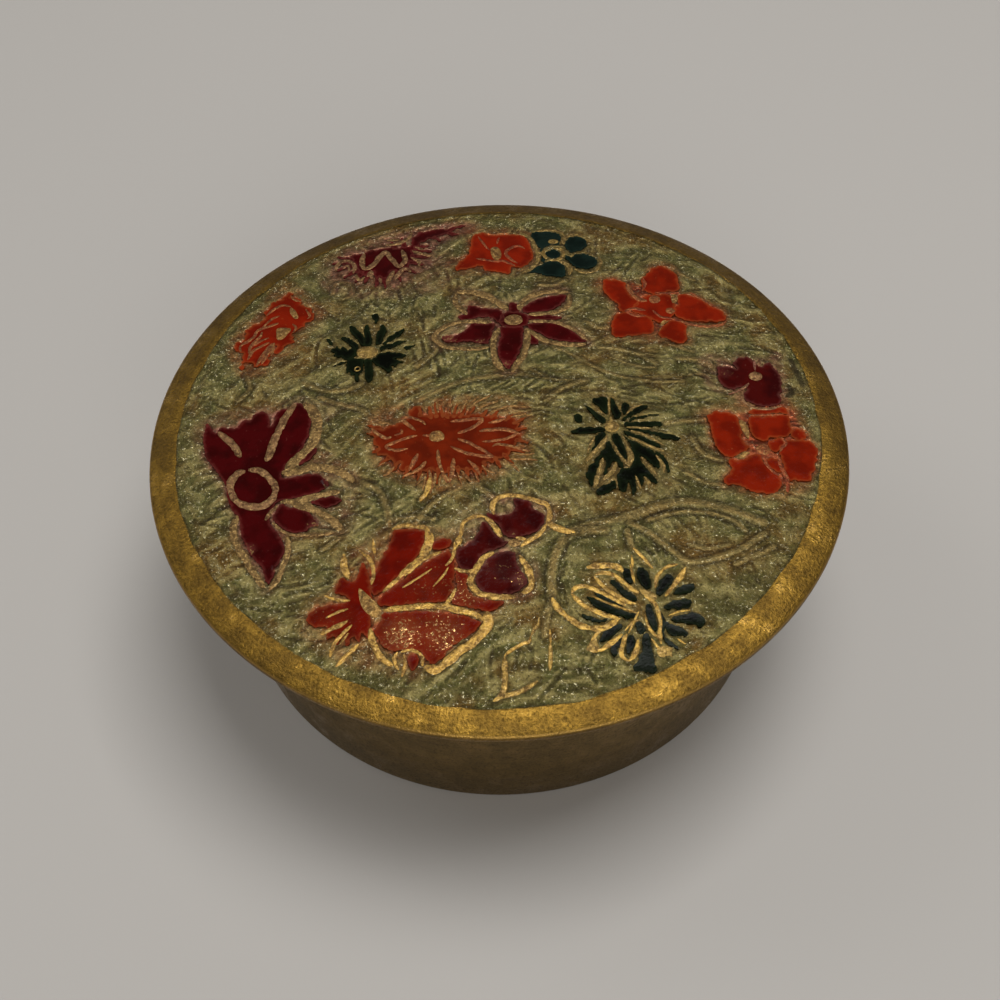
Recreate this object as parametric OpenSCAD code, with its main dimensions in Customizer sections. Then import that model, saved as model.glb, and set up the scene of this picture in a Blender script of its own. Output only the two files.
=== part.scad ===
// Round brass paan box: a plain turned cup with a wide lift-off lid.
// The lid carries flowers of enamel, filled into cells between raised brass lines.
// Z is up. The origin is the middle of the cup's underside.

/* [Cup] */
// Outer diameter of the cup
cup_d = 82; // [60:1:92]
// Height of the cup, from the table to its rim
cup_h = 32.6; // [20:0.1:60]
// Thickness of the cup's wall
cup_wall = 1.6; // [1:0.1:3]
// Thickness of the cup's floor
cup_floor = 2; // [1:0.1:4]
// Bevel on the cup's edges
cup_bevel = 0.3; // [0.1:0.1:0.8]

/* [Lid] */
// Diameter of the lid
lid_d = 100; // [96:1:130]
// Height of the lid's upright edge
lid_edge = 1.2; // [0.8:0.1:3]
// Width of the plain brass ring around the enamel
ring_w = 3.7; // [2:0.1:6]
// How far the ring climbs from the lid's edge to the enamel
ring_rise = 1; // [0.4:0.1:2]
// How far the enamel's edge lies below the ring
field_drop = 0.3; // [0.1:0.1:0.4]
// How far the enamel domes up in the middle
dome_rise = 1.5; // [0.5:0.1:4]
// Thickness of the brass below the enamel
plate_t = 1.6; // [1:0.1:2.4]
// Bevel on the lid's edges
lid_bevel = 0.25; // [0.1:0.05:0.5]

/* [Collar] */
// Depth of the collar that centres the lid in the cup
collar_h = 6; // [3:0.5:15]
// Thickness of the collar
collar_t = 1.2; // [0.8:0.1:2]
// Clearance between the collar and the cup, all round
collar_gap = 0.3; // [0.2:0.05:0.6]

/* [Enamel] */
// Depth of the enamel in its cells
enamel_t = 0.4; // [0.3:0.05:0.6]
// Height of the raised brass lines above the enamel
line_h = 0.3; // [0.1:0.05:0.5]
// Width of the raised brass lines
line_w = 0.8; // [0.4:0.1:1.2]

/* [Hidden] */
$fn = 200;

cup_r = cup_d / 2;
bore_r = cup_r - cup_wall;
lid_r = lid_d / 2;
field_r = lid_r - ring_w;
edge_z = cup_h + lid_edge;
ring_z = edge_z + ring_rise;
field_z = ring_z - field_drop;
collar_r = bore_r - collar_gap;
hollow_r = collar_r - collar_t;

// The dome is part of a ball through the enamel's edge and its middle. at_dome is the profile
// point on the ball at one radius, moved out by lift.
dome_r = (field_r * field_r + dome_rise * dome_rise) / (2 * dome_rise);
dome_z = field_z + dome_rise - dome_r;
function at_dome(r, lift) = [r, dome_z + sqrt(pow(dome_r + lift, 2) - r * r)];

// A flower is [middle, radius of its brass boss, radius of the enamel in the boss, radius of
// the enamel round the boss, petals], and a petal is [direction, length, width, bluntness],
// with 0 for a pointed petal.
function petals(rays, width) = [for (ray = rays) [ray[0], ray[1], width, 0]];

LILY = [[-34, -10.5], 3.5, 2.5, 4.5, [
    [124, 14, 5.2, 0], [93, 13.5, 6.5, 0.15], [68, 15.5, 5.2, 0],
    [0, 12.5, 4.6, 0.1], [-34, 13, 4.8, 0], [-80, 17, 6.6, 0]]];
TUFT = [[-32.7, 19.6], 1.4, 0, 3, [
    [88, 9, 4.6, 0], [40, 6.5, 4.2, 0], [124, 6.8, 4.6, 0], [165, 5, 4.5, 0],
    [210, 7.2, 4.4, 0], [238, 9.4, 3.4, 0], [254, 8, 3.6, 0], [276, 5.8, 3.4, 0]]];
DAISY_LEFT = [[-19.4, 14.5], 1.6, 0, 2.2, petals([
    [6, 6.2], [20, 6], [41, 7], [70, 6.2], [94, 6], [116, 6.5], [138, 5.4], [158, 6.2],
    [183, 5.5], [208, 5.6], [232, 4.8], [259, 6.2], [276, 6.3], [307, 5.4], [333, 5.9], [350, 6]
], 1.5)];
SPRAY = [[-13.6, 39.4], 0, 0, 1.2, [
    [200, 12.4, 3.4, 0], [225, 10.6, 3.6, 0], [246, 10.2, 3.4, 0], [264, 6.8, 3.2, 0],
    [27, 8.6, 2.2, 0]]];
BLOSSOM = [[0.3, 36.6], 0, 0, 2, [
    [118, 6, 4.6, 0.4], [58, 5.4, 4.6, 0.4], [-12, 5.6, 4.8, 0.4], [-78, 5.4, 4.6, 0.4],
    [206, 6.8, 3.8, 0.1], [163, 4.8, 4, 0.3]]];
CLOVER = [[9.9, 36.2], 1.8, 1.1, 2.3, [
    [112, 5.6, 4, 0.35], [37, 6, 4, 0.35], [-22, 6.6, 4.2, 0.35], [-97, 6, 4.4, 0.35]]];
STAR_RIGHT = [[24.5, 23], 1.2, 0, 2.8, [
    [79, 9.6, 5.4, 0.25], [-12, 9.8, 5.6, 0], [-65, 7.8, 3.8, 0.2], [220, 8.4, 5.2, 0.35],
    [139, 9.2, 4.2, 0.35]]];
STAR_MIDDLE = [[2.8, 20.6], 1.4, 0, 2.2, [
    [34, 9.6, 3.6, 0], [-28, 11.2, 3.4, 0], [262, 10.4, 4, 0], [197, 11, 4.2, 0],
    [146, 9.6, 3.8, 0], [90, 3.6, 2.2, 0.3]]];
ASTER = [[-8.8, -2.8], 1.1, 0, 3, [
    [1, 11.8, 4.6, 0.1], [-14, 10.5, 4, 0.1], [-31, 9, 4, 0], [-53, 7.8, 3.6, 0],
    [-78, 8, 3.4, 0], [-103, 7.2, 3.4, 0], [-128, 7.6, 3.6, 0], [-152, 7.8, 3.6, 0],
    [193, 8.6, 4, 0.1], [170, 9.2, 4, 0], [132, 7, 3.6, 0], [92, 4.6, 3.6, 0],
    [48, 5.6, 3.8, 0], [24, 8, 4, 0]]];
DAISY_RIGHT = [[16.3, -1.4], 1.1, 0, 1.8, petals([
    [2, 7.4], [18, 6.8], [36, 6.6], [66, 5.2], [86, 5], [108, 5.6], [138, 5.6], [162, 5.6],
    [189, 5.8], [214, 6.4], [232, 8.4], [246, 11], [260, 12.2], [276, 12.4], [290, 11.8],
    [304, 11.2], [317, 10], [331, 8.2], [346, 9.6]
], 1.5)];
VIOLET = [[38.1, 8.2], 1.1, 0, 2, [
    [114, 4.4, 3.6, 0.35], [40, 4.6, 4, 0.35], [178, 5.6, 4.2, 0.35], [-84, 5.6, 4.8, 0.35],
    [-20, 4.2, 3.4, 0.35]]];
MALLOW = [[37.3, -6], 1.1, 0, 2.2, [
    [77, 6.3, 5, 0.4], [148, 8.6, 5.2, 0.35], [246, 8, 5.8, 0.3], [-24, 7.6, 5.6, 0.3],
    [28, 5.8, 3.2, 0.2]]];
POPPY = [[-17.5, -30.4], 1.4, 0, 2.6, [
    [59, 12.8, 5.2, 0.3], [31, 12.6, 6, 0.2], [-24, 14.6, 9, 0.25], [88, 8.4, 2.8, 0],
    [112, 8, 2.2, 0], [134, 6.6, 2.2, 0], [166, 6.6, 2.2, 0], [191, 8.2, 2.4, 0],
    [212, 8.4, 2.4, 0], [234, 7, 2.2, 0], [254, 6.4, 2.2, 0]]];
PANSY = [[1.4, -21.8], 1, 0, 1.6, [
    [70, 7.4, 5.6, 0.3], [168, 7.4, 4.8, 0.2], [254, 8, 6, 0.35]]];
DAISY_FRONT = [[18.9, -32.6], 1.3, 0, 2, petals([
    [4, 6.6], [-13, 7], [-32, 6.4], [-50, 6.8], [-75, 6], [-99, 8.4], [-114, 7.6], [-131, 7.8],
    [-148, 7.6], [187, 8], [166, 9.6], [141, 7.6], [114, 6.6], [96, 7], [74, 6.2], [55, 6.8],
    [26, 6.6]
], 1.6)];
FLOWERS = [
    LILY, TUFT, DAISY_LEFT, SPRAY, BLOSSOM, CLOVER, STAR_RIGHT, STAR_MIDDLE, ASTER,
    DAISY_RIGHT, VIOLET, MALLOW, POPPY, PANSY, DAISY_FRONT
];

// Leaves that are only raised outlines on the ground: [stalk end, direction, length, width]
LEAVES = [[[9.5, -19.6], 1, 26, 8.6], [[3, -45], 92, 10.5, 5.4], [[13.5, 8], 14, 13, 4.6]];

module cup() {
    color("darkgoldenrod") rotate_extrude() polygon([
        [0, 0], [cup_r - cup_bevel, 0], [cup_r, cup_bevel], [cup_r, cup_h - cup_bevel],
        [cup_r - cup_bevel, cup_h], [bore_r + cup_bevel, cup_h], [bore_r, cup_h - cup_bevel],
        [bore_r, cup_floor + cup_bevel], [bore_r - cup_bevel, cup_floor], [0, cup_floor]]);
}

module lid_plate() {
    steps = [0:16];
    color("goldenrod") rotate_extrude() polygon(concat(
        [for (k = steps) at_dome(hollow_r * k / 16, -enamel_t - plate_t)],
        [[hollow_r, cup_h], [lid_r - lid_bevel, cup_h], [lid_r, cup_h + lid_bevel],
         [lid_r, edge_z - lid_bevel], [lid_r - lid_bevel, edge_z], [field_r, ring_z]],
        [for (k = steps) at_dome(field_r * (1 - k / 16), -enamel_t)]));
}

module raised_lines() {
    color("goldenrod") intersection() {
        above_dome(-enamel_t) lines();
        ball(line_h);
    }
}

module lid_collar() {
    color("darkgoldenrod") translate([0, 0, cup_h - collar_h]) rotate_extrude() polygon([
        [hollow_r, 0], [collar_r - cup_bevel, 0], [collar_r, cup_bevel],
        [collar_r, collar_h], [hollow_r, collar_h]]);
}

module ground_enamel() { color("darkseagreen") dome_layer() ground(); }

module lily_crimson() { color("darkred") dome_layer() cells(LILY); }
module tuft_orange() { color("orangered") dome_layer() cells(TUFT); }
module daisy_green_left() { color("darkslategray") dome_layer() cells(DAISY_LEFT); }
module spray_crimson() { color("darkred") dome_layer() cells(SPRAY); }
module blossom_orange() { color("orangered") dome_layer() cells(BLOSSOM); }
module clover_green() { color("darkslategray") dome_layer() cells(CLOVER); }
module star_orange() { color("orangered") dome_layer() cells(STAR_RIGHT); }
module star_crimson() { color("darkred") dome_layer() cells(STAR_MIDDLE); }
module aster_brick() { color("firebrick") dome_layer() cells(ASTER); }
module daisy_green_right() { color("darkslategray") dome_layer() cells(DAISY_RIGHT); }
module violet_maroon() { color("maroon") dome_layer() cells(VIOLET); }
module mallow_orange() { color("orangered") dome_layer() cells(MALLOW); }
module poppy_red() { color("firebrick") dome_layer() cells(POPPY); }
module pansy_maroon() { color("maroon") dome_layer() cells(PANSY); }
module daisy_green_front() { color("darkslategray") dome_layer() cells(DAISY_FRONT); }

// Ball whose top is the enamel's surface, moved out by lift. Its poles lie on the X axis.
module ball(lift) {
    translate([0, 0, dome_z]) rotate([0, 90, 0]) sphere(r = dome_r + lift, $fn = 256);
}

// Flat shape stood up above one level of the dome, measured from the enamel's surface
module above_dome(level) {
    difference() {
        translate([0, 0, cup_h]) linear_extrude(lid_d / 10) children();
        ball(level);
    }
}

// Flat shape stood up through the depth of the enamel
module dome_layer() {
    intersection() {
        above_dome(-enamel_t) children();
        ball(0);
    }
}

// Flat shape of the ground: the field, less the flowers with their lines and the leaves' lines
module ground() {
    difference() {
        circle(field_r);
        flower_grounds();
        leaf_lines();
    }
}

// Flat shape of all the raised lines and bosses
module lines() {
    difference() {
        union() {
            flower_grounds();
            leaf_lines();
        }
        for (flower = FLOWERS) cells(flower);
    }
}

// Flat shape of all the flowers with the lines round them, kept clear of the ring
module flower_grounds() {
    intersection() {
        circle(field_r - line_w);
        for (flower = FLOWERS) outline(flower, line_w);
    }
}

// Flat outlines of the leaves
module leaf_lines() {
    for (leaf = LEAVES) translate(leaf[0]) rotate(leaf[1]) difference() {
        lens(leaf[2], leaf[3], line_w / 2);
        lens(leaf[2], leaf[3], -line_w / 2);
    }
}

// Flat shape of one flower's enamel, inside its lines and round its boss
module cells(flower) {
    difference() {
        outline(flower, 0);
        if (flower[1] > 0) translate(flower[0]) difference() {
            circle(flower[1]);
            if (flower[2] > 0) circle(flower[2]);
        }
    }
}

// Flat outline of a flower, grown by a margin
module outline(flower, margin) {
    translate(flower[0]) {
        circle(flower[3] + margin);
        for (petal = flower[4]) rotate(petal[0]) petal(petal[1], petal[2], petal[3], margin);
    }
}

// Petal along +X from the flower's middle. A blunt one is a longer lens, cut round at its length.
module petal(length, width, blunt, margin) {
    if (blunt > 0) intersection() {
        lens(length * (1 + blunt), width, margin);
        circle(length + margin);
    }
    else lens(length, width, margin);
}

// Lens from the origin along +X, between two arcs, grown by a margin
module lens(length, width, margin) {
    arc_r = (length * length + width * width) / (4 * width);
    intersection() {
        translate([length / 2, arc_r - width / 2]) circle(arc_r + margin);
        translate([length / 2, width / 2 - arc_r]) circle(arc_r + margin);
    }
}

cup();
lid_plate();
raised_lines();
lid_collar();
ground_enamel();
lily_crimson();
tuft_orange();
daisy_green_left();
spray_crimson();
blossom_orange();
clover_green();
star_orange();
star_crimson();
aster_brick();
daisy_green_right();
violet_maroon();
mallow_orange();
poppy_red();
pansy_maroon();
daisy_green_front();
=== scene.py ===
import math
import random

import bpy
import numpy as np
from mathutils import Matrix, Vector
from mathutils.geometry import delaunay_2d_cdt


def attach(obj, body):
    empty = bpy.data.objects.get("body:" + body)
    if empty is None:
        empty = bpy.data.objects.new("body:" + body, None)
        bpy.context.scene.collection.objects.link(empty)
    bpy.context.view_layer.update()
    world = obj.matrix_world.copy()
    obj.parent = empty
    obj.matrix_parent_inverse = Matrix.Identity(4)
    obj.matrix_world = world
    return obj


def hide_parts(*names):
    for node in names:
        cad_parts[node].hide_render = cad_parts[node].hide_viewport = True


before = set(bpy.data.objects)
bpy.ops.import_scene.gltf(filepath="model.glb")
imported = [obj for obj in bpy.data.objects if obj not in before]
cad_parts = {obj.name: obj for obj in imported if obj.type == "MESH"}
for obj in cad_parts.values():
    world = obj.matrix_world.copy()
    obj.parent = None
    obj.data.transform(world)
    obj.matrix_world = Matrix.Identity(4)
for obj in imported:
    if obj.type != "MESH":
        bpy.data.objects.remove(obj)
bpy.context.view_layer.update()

# Sizes are in millimetres, and become metres where a mesh is made. X runs to the right, Y to the
# back, Z up, from the middle of the cup's underside.
METRE = 0.001

# The cup
CUP_R = 41.0
CUP_H = 32.6
CUP_FLOOR = 2.0
BORE_R = 39.4
# The collar that centres the lid in the cup
COLLAR_R = 39.1
COLLAR_BORE_R = 37.9
COLLAR_BOTTOM = 26.6
# The lid: its upright edge, the inner edge of its ring, and the domed field inside it
LID_R = 50.0
EDGE_Z = 33.8
RING_Z = 34.63
FIELD_R = 46.3
FIELD_Z = 34.5
DOME_RISE = 1.5
PLATE_THICK = 2.02
ENAMEL_DEPTH = 0.4


def dome(x, y):
    """Height of the enamel's surface."""
    return FIELD_Z + DOME_RISE * (1 - (x * x + y * y) / FIELD_R ** 2)


# ---------------------------------------------------------------- the flowers, drawn in plan
# An outline or a line is text, "x y, x y, ...", in millimetres from the lid's middle. Where a
# number and a bar come first, it is the width of a line or of spikes, or the strength of a wash.
# glaze   the enamel that fills the flower
# cells   outlines of its enamel
# spikes  pairs of places, root and tip, of strokes that the brush flicked outward
# fringe  how far the brush frayed the outlines, in mm
# grow    how far the enamel ran out past them, in mm
# lines   raised brass lines
# rings   raised brass rings, "x y radius width"
# bosses  raised brass studs, "x y half-width half-depth"
# pads    outlines of brass left bare
# washes  outlines of the stain that the glaze left on the ground
# soak    how strongly it stained the flower's own brass lines, 0.5 where it isn't given
# chips   places broken away, "x y radius"
# worn    places rubbed thin, "x y radius amount"

FLOWERS = {
    "lily_crimson": {
        "glaze": "crimson",
        "cells": [
            "-42.2 1.4, -41.6 .9, -40.6 -.4, -39.9 .7, -38.9 .4, -38 .3, -37.3 .9, -36.9 1.8,"
            "-35.9 1.8, -35.2 2.8, -34.3 3.3, -33.2 2.4, -32.8 .2, -32.2 1.8, -31.9 3.1, -30.2 3.8,"
            "-29.1 4.6, -27.8 3.8, -27 2, -27 -.7, -27.6 -3.4, -28.8 -5.8, -30.2 -7.8, -30.2 -9.4,"
            "-28.6 -9.3, -26 -8.9, -24.6 -9.6, -23.6 -10.8, -24.4 -11.8, -26 -12.4, -28.4 -13.1,"
            "-30.2 -13.3, -30.9 -14, -31.4 -15.4, -31.4 -17.2, -29.8 -19.3, -29 -21.7, -29.8 -24.1,"
            "-30.7 -27, -31.9 -24.3, -33.6 -22, -35 -19, -35.7 -16.2, -36.8 -14.5, -37.8 -12,"
            "-38.2 -10, -39.8 -7.6, -41.5 -4.8, -42.2 -2.2",
            "-30.8 -15.4, -30.2 -14, -28.8 -14.6, -26.6 -15.3, -25.2 -16.8, -24.2 -17.8, -25.6 -18,"
            "-26.6 -18.8, -28.4 -18.8, -29.6 -18, -31 -16.6",
            "-26.1 -4.2, -25.8 -4.8, -26.6 -6.2, -28.2 -7.2, -27.4 -5.8",
            "-26 -13.9, -25 -13.4, -23 -13, -21.7 -13.8, -22.8 -14.5, -24 -14.9, -25 -14.4"],
        "lines": [
            "1 | -35.6 -7.8, -36.8 -8.3, -37.4 -10, -36.7 -12.5, -34.8 -14, -32.8 -14.1, -31.4 -13,"
            "-31.1 -11, -32 -9.3, -33.4 -8, -35.2 -7.6",
            "1 | -40.2 -.2, -38.6 -2, -37.4 -3.6, -36.5 -5.2",
            "1.1 | -29.4 4.4, -30.6 2, -31.6 -1, -32.2 -4, -32.8 -6.2",
            "1.4 | -28.2 4.6, -26.8 2.8, -26 .4, -26.2 -2, -27.2 -4.4, -28.8 -6.4, -29.8 -8",
            "1.3 | -30.4 -8.4, -28.6 -8.4, -26.4 -7.7, -24 -8, -21.6 -9.2, -20.2 -10.6",
            ".9 | -30.2 -13.6, -27.4 -13.4, -25 -12.7, -22 -12.2",
            "1.2 | -28.6 -13.9, -26.6 -14.6, -24.6 -15.8, -22.6 -17.4, -21.6 -19",
            ".5 | -31 -17.1, -29.6 -18.5, -28 -19.3, -25.4 -19.5, -22.4 -19.2",
            ".7 | -32 -16.6, -31.4 -15.4, -30.6 -14.2",
            ".9 | -36 -15.6, -36.3 -18, -35.6 -20.4, -34.2 -23, -32.6 -25.6, -31.2 -27.6",
            ".8 | -28.8 -19.6, -28.6 -21.6, -28.9 -24, -29.6 -26.2, -30.6 -28"],
        "washes": [
            ".35 | -43 2.6, -34 4.6, -28.4 6, -25 4.4, -20 3.8, -24.6 1, -25 -4, -20 -8.4, -19.2 -13,"
            "-20.6 -20, -28 -20.4, -30.8 -29, -37 -17, -39 -11, -43 -4"],
        "chips": ["-34.6 -21.2 .35", "-24.4 -10.6 .4", "-24.6 -17.6 .5", "-29.9 -24.6 .25"],
        "worn": ["-25.2 -17.9 1 .8", "-33.8 -21.3 .9 .8", "-29.9 -25 .5 .7", "-23.4 -10.4 .9 .4"]},
    "tuft_orange": {
        "glaze": "orange", "fringe": 0.45,
        "cells": [
            "-32.4 28.8, -31.6 28.4, -31.8 27.6, -31 27, -29.8 26, -29 25, -28.2 23.6, -28 22.4,"
            "-29 21.6, -30 20.6, -30.2 19.4, -31 18.6, -31 17.4, -32 17, -32.2 15.8, -33 15,"
            "-33.4 15.8, -33 17, -34 17.2, -34.2 15.8, -34.4 13.8, -34.6 12.6, -35.4 12.4,"
            "-36.2 12.4, -37.4 13.6, -38 13.4, -38.1 11.8, -38.3 15, -38.8 15.6, -39.4 17, -39.2 18,"
            "-38 18.6, -38.4 19.8, -38 21, -36.6 22, -35.8 23.4, -35.2 25.2, -34.8 26.4, -34 26.6,"
            "-33.2 27.4"],
        "pads": [
            "-33.4 20.6, -31.4 20.4, -31.8 19.2, -32.4 18.2, -33.2 18, -33.5 19.2",
            "-31.8 25.2, -31 24.4, -30.4 22.8, -31 22.6, -31.8 24"],
        "lines": [
            ".5 | -38.4 17.4, -37 19, -36.4 20.4, -34.6 21.2, -33.4 21.8",
            ".5 | -37.4 15.4, -37 17.4, -36 19, -35.8 20", ".45 | -37.6 16.6, -35.8 18, -34.6 18.6",
            ".5 | -37.4 14, -36.8 15.8, -35.6 16.8, -34.4 17.6",
            ".5 | -36 12.6, -35.2 14.8, -34.2 17.2", ".5 | -35.2 13, -34.4 15.4, -34 17.4",
            ".5 | -33.9 14.6, -33.7 17.4", ".5 | -35.4 23.6, -34.4 25, -33.2 25.8, -31.8 25.4",
            ".4 | -31.2 21.4, -30.6 20.4, -31 19.4", ".4 | -32 28, -31.4 27, -30.2 26.4",
            ".4 | -36 20.6, -34.6 22.6, -33.4 23.4", ".4 | -29.4 24.6, -28.6 23, -29 22.4",
            ".4 | -38.6 15.8, -38.8 17, -38.2 18"],
        "washes": [
            ".45 | -32 31, -29.4 28, -26.6 24.4, -26.4 21.4, -30 16.6, -34 11, -38 10.4, -40.6 15.6,"
            "-40.2 19.4, -37 24, -35.6 28"]},
    "daisy_green_left": {
        "glaze": "green",
        "cells": [
            "-22.3 20.3, -21.6 20.1, -20.7 18.9, -20.1 18.2, -19.9 16.2, -20.4 16.1, -21.2 17.4,"
            "-22.1 18.8, -22.4 19.8",
            "-19.9 20.5, -19.5 20.4, -19.1 19, -18.9 17, -19 15.9, -19.8 15.9, -20 17.5, -20.1 19",
            "-17.4 20.2, -16.8 20, -16.7 19, -17 17.6, -17.4 16.2, -18.2 16.1, -18.2 17.5, -17.9 19",
            "-14.1 19.2, -14.1 18.6, -14.9 17.6, -16 16.6, -16.9 16, -16.9 16.6, -16.2 17.6,"
            "-15 18.7",
            "-13.6 16.5, -14.6 16.6, -15.8 16.2, -17 15.8, -17.6 15, -16.4 15, -15.4 15.4,"
            "-14.4 16.1",
            "-13.9 15.1, -13 15.5, -12.2 15.6, -12.8 15.1, -13.4 14.8",
            "-13.5 13.6, -14.3 13, -15.4 12.9, -14.6 12.5, -13.8 12, -14.8 11.9, -15.1 11.1,"
            "-15.7 11.6, -15.6 10.6, -16.1 10.1, -17 11, -18.1 11.9, -18.5 12.9, -17.6 14, -16 14.3,"
            "-14.6 14",
            "-19.4 13, -18.7 12.9, -18.5 11.5, -18.4 9.5, -18.5 8.5, -19 8.3, -19.4 9.2, -19.7 11,"
            "-19.8 12.6",
            "-22 13.4, -21 13.2, -20 13, -19.9 12, -20 10.6, -20.4 9.8, -20.5 8.6, -20.9 8.9, -21 10,"
            "-21.6 9.6, -21.8 10.8, -22.3 10.2, -22.3 12.4",
            "-21 15, -21.6 15.4, -22.4 15.2, -23 15.9, -23.6 15.3, -24 16.1, -24.4 15.6, -25 15.2,"
            "-24.2 14.6, -24.4 14, -23.4 13.7, -22.8 13, -22 13.2, -21.2 13.8",
            "-23.4 18, -22.7 17.9, -21.6 16.9, -20.7 16, -21 15.3, -21.8 15.7, -22.8 16.9,"
            "-23.4 17.6",
            "-25.8 17.8, -25.2 17.5, -24.7 16.4, -25 16.2, -25.6 17",
            "-24.4 11.7, -23 12.2, -22.2 12.6, -22.6 12.7, -23.6 12.3",
            "-19 22.7, -18 22.8, -18.1 21.4, -18.4 20.3, -18.6 21.2, -19 21.9"],
        "bosses": ["-19.4 14.4 1.6 1.3"],
        "rings": ["-20.7 11 .4 .2"]},
    "spray_crimson": {
        "glaze": "crimson", "fringe": 0.35,
        "spikes": (".8 | -22.6 36, -25.4 36.9, -22.6 35.4, -26 35.2, -22.4 34.6, -25.6 33.4,"
                   "-21.8 33.4, -24 31.6, -21 33, -22 30.4, -19.8 32.6, -20.6 30, -18.2 31.6,"
                   "-18.9 28.8, -17.4 31.2, -17.2 28.4, -15.8 32.8, -14.8 30, -14.4 33.6, -12.4 32,"
                   "-13.8 35, -11 34, -13.4 36.4, -10.4 35.8, -13.2 37.6, -10 37.4, -13 38.4,"
                   "-10.2 38.8, -16 38.2, -16.8 40.4, -14.6 38.6, -15 41.2, -10 41, -8.6 40, -7.6 42,"
                   "-5.6 41.4"),
        "cells": [
            "-23.2 36.8, -20 38, -16.2 38.6, -13.8 38.9, -13.5 40.1, -13.2 41.3, -12 42.3,"
            "-10.3 42.7, -9.1 43.2, -7.3 43.3, -5.5 43.8, -4.7 43.6, -7.3 42.1, -9.7 41, -10.9 40.1,"
            "-11.8 39.4, -12.2 38.4, -12.8 37.1, -12.9 35.9, -13.5 35.1, -14.1 34.5, -13.9 33.3,"
            "-15 32.4, -16.2 32.7, -16.6 31.8, -17.1 30.3, -18.5 30.6, -19.1 31.8, -18.8 33,"
            "-19.4 33, -20.2 31.8, -20.9 32, -22.1 32.7, -22.1 34.5, -23.5 35.4"],
        "lines": [
            ".8 | -20.9 37.4, -21.2 35.6, -20.7 33.6, -19.4 34.4, -18.4 36.4, -17.5 37.6, -16.6 36,"
            "-15.2 33.8, -14.3 35.6, -14.9 38",
            ".7 | -25.3 33.4, -25 35, -23.6 35.8, -22.4 34.6, -22.4 32.6",
            ".5 | -24.2 33.8, -23.4 34.6, -23.1 33.2", ".6 | -22 32.2, -21.4 30.8, -20.6 31.6",
            ".6 | -20.2 31.6, -19.6 33, -19.4 31", ".6 | -18.2 31.2, -17.9 30",
            ".7 | -17 29.4, -16.6 31, -16 32.8",
            ".7 | -15.8 30.6, -15.2 32.2, -14.2 33.2, -13.2 32.4",
            ".6 | -13.2 37.6, -11.6 36.8, -10 36.2", ".6 | -13.4 36, -12.2 35, -12 33.8",
            ".6 | -12.8 38.6, -11.4 37.8", ".6 | -17.6 39.4, -15.6 39.6, -13.9 41, -13.4 42.4",
            ".5 | -17.4 40.6, -15.4 40.6"],
        "washes": [
            ".8 | -26 33, -25 37, -20 39.4, -16 42, -10 44.2, -3 44.8, -3 42, -9 39, -10 34,"
            "-13 30.6, -17 28.6, -22 30, -25.6 31",
            ".4 | -28 34, -27 29, -22 26.6, -16 26.4, -9 27.4, -6.6 31, -6.4 36, -8 40, -14 43.4,"
            "-20 41.6, -26.6 37.6"]},
    "blossom_orange": {
        "glaze": "orange", "soak": 1.4,
        "cells": [
            "-3.6 40.6, -2.9 41.5, -1.8 41.7, -.7 41.1, 1.2 41.1, 3.4 41.1, 4.6 40.7, 5.4 39.6,"
            "5.7 38.2, 6.2 36, 5.7 34.2, 4.2 32.8, 2.6 33, 2.5 31.4, 1.1 31.6, 0 32, -1.6 32.3,"
            "-2 33.5, -3.5 33, -4.7 32.7, -6.1 32.5, -6.1 33.6, -5 35.1, -4.1 36.6, -3.8 38.8"],
        "pads": ["-.6 37.6, .4 38, 1 36.8, 1 35.4, .3 34.6, -.4 35.6"],
        "lines": [
            ".5 | 4.9 37.4, 4 38.1, 2.8 37.8, 1.8 36.6, 2.3 35.2, 3.6 33.8",
            ".4 | -2.6 40.8, -1.6 38.6, -.8 37.2", ".4 | .8 40.4, .4 38.8",
            ".5 | -3 35.2, -1.4 34.8, .2 34.4, 1.6 34.4, 3.2 33.2"],
        "washes": [
            ".5 | -4.6 41.8, -2 43, 4 42.4, 6.4 40.6, 7 36, 5 31.8, 2.6 30.4, -2 31, -7 31.6,"
            "-7 34.4, -5 37"]},
    "clover_green": {
        "glaze": "teal",
        "cells": [
            "6.2 41.4, 8.2 41.8, 10 41.4, 10.8 40.4, 10.6 39.2, 10.3 38.3, 8.8 38.3, 7.8 37.4, 7 38,"
            "6.2 39.4",
            "11.4 38.6, 12 40, 13.2 40.4, 14.6 39.8, 14.9 38.4, 14.2 37.2, 13.2 36.6, 12.2 36.4,"
            "11.5 37.2",
            "12.2 35.2, 13.2 36, 14.8 35.8, 16 34.8, 16.2 33.4, 15.2 32.5, 13.6 32.4, 12.4 33.2,"
            "11.8 34.2, 11.2 34.8, 11.3 35.6",
            "8.2 34, 9.4 34.3, 10.4 33.9, 11 32.8, 11.2 31.4, 10.6 30.4, 9.6 30.6, 8 30.8, 7 31.2,"
            "6 31.6, 5.2 31.4, 4.4 31.8, 5.2 32.2, 6.6 32.8, 7.6 33.4",
            "9.4 37.2, 10.2 36.8, 10.5 35.9, 10 35, 9.1 34.9, 8.3 35.6, 8.4 36.6",
            "7.2 37.2, 7.6 36, 7.4 34.4, 7.8 33.9, 8.1 34.8, 7.9 36, 7.8 37.2"],
        "rings": ["9.4 36.1 1.6 .55"],
        "bosses": ["9.5 39.1 .8 .55"],
        "lines": [
            ".6 | 11.2 38.4, 11.2 39.8, 12.2 40.8, 13.6 41",
            ".5 | 6.8 41.9, 9 42.2, 10.8 41.6, 11.5 40.4",
            ".7 | 10.2 34.2, 11.4 33.4, 11.9 32.2, 11.6 30.8",
            ".5 | 16.6 35.2, 16.8 33.6, 15.8 31.8, 14 31.4, 12.6 32.2",
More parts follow.
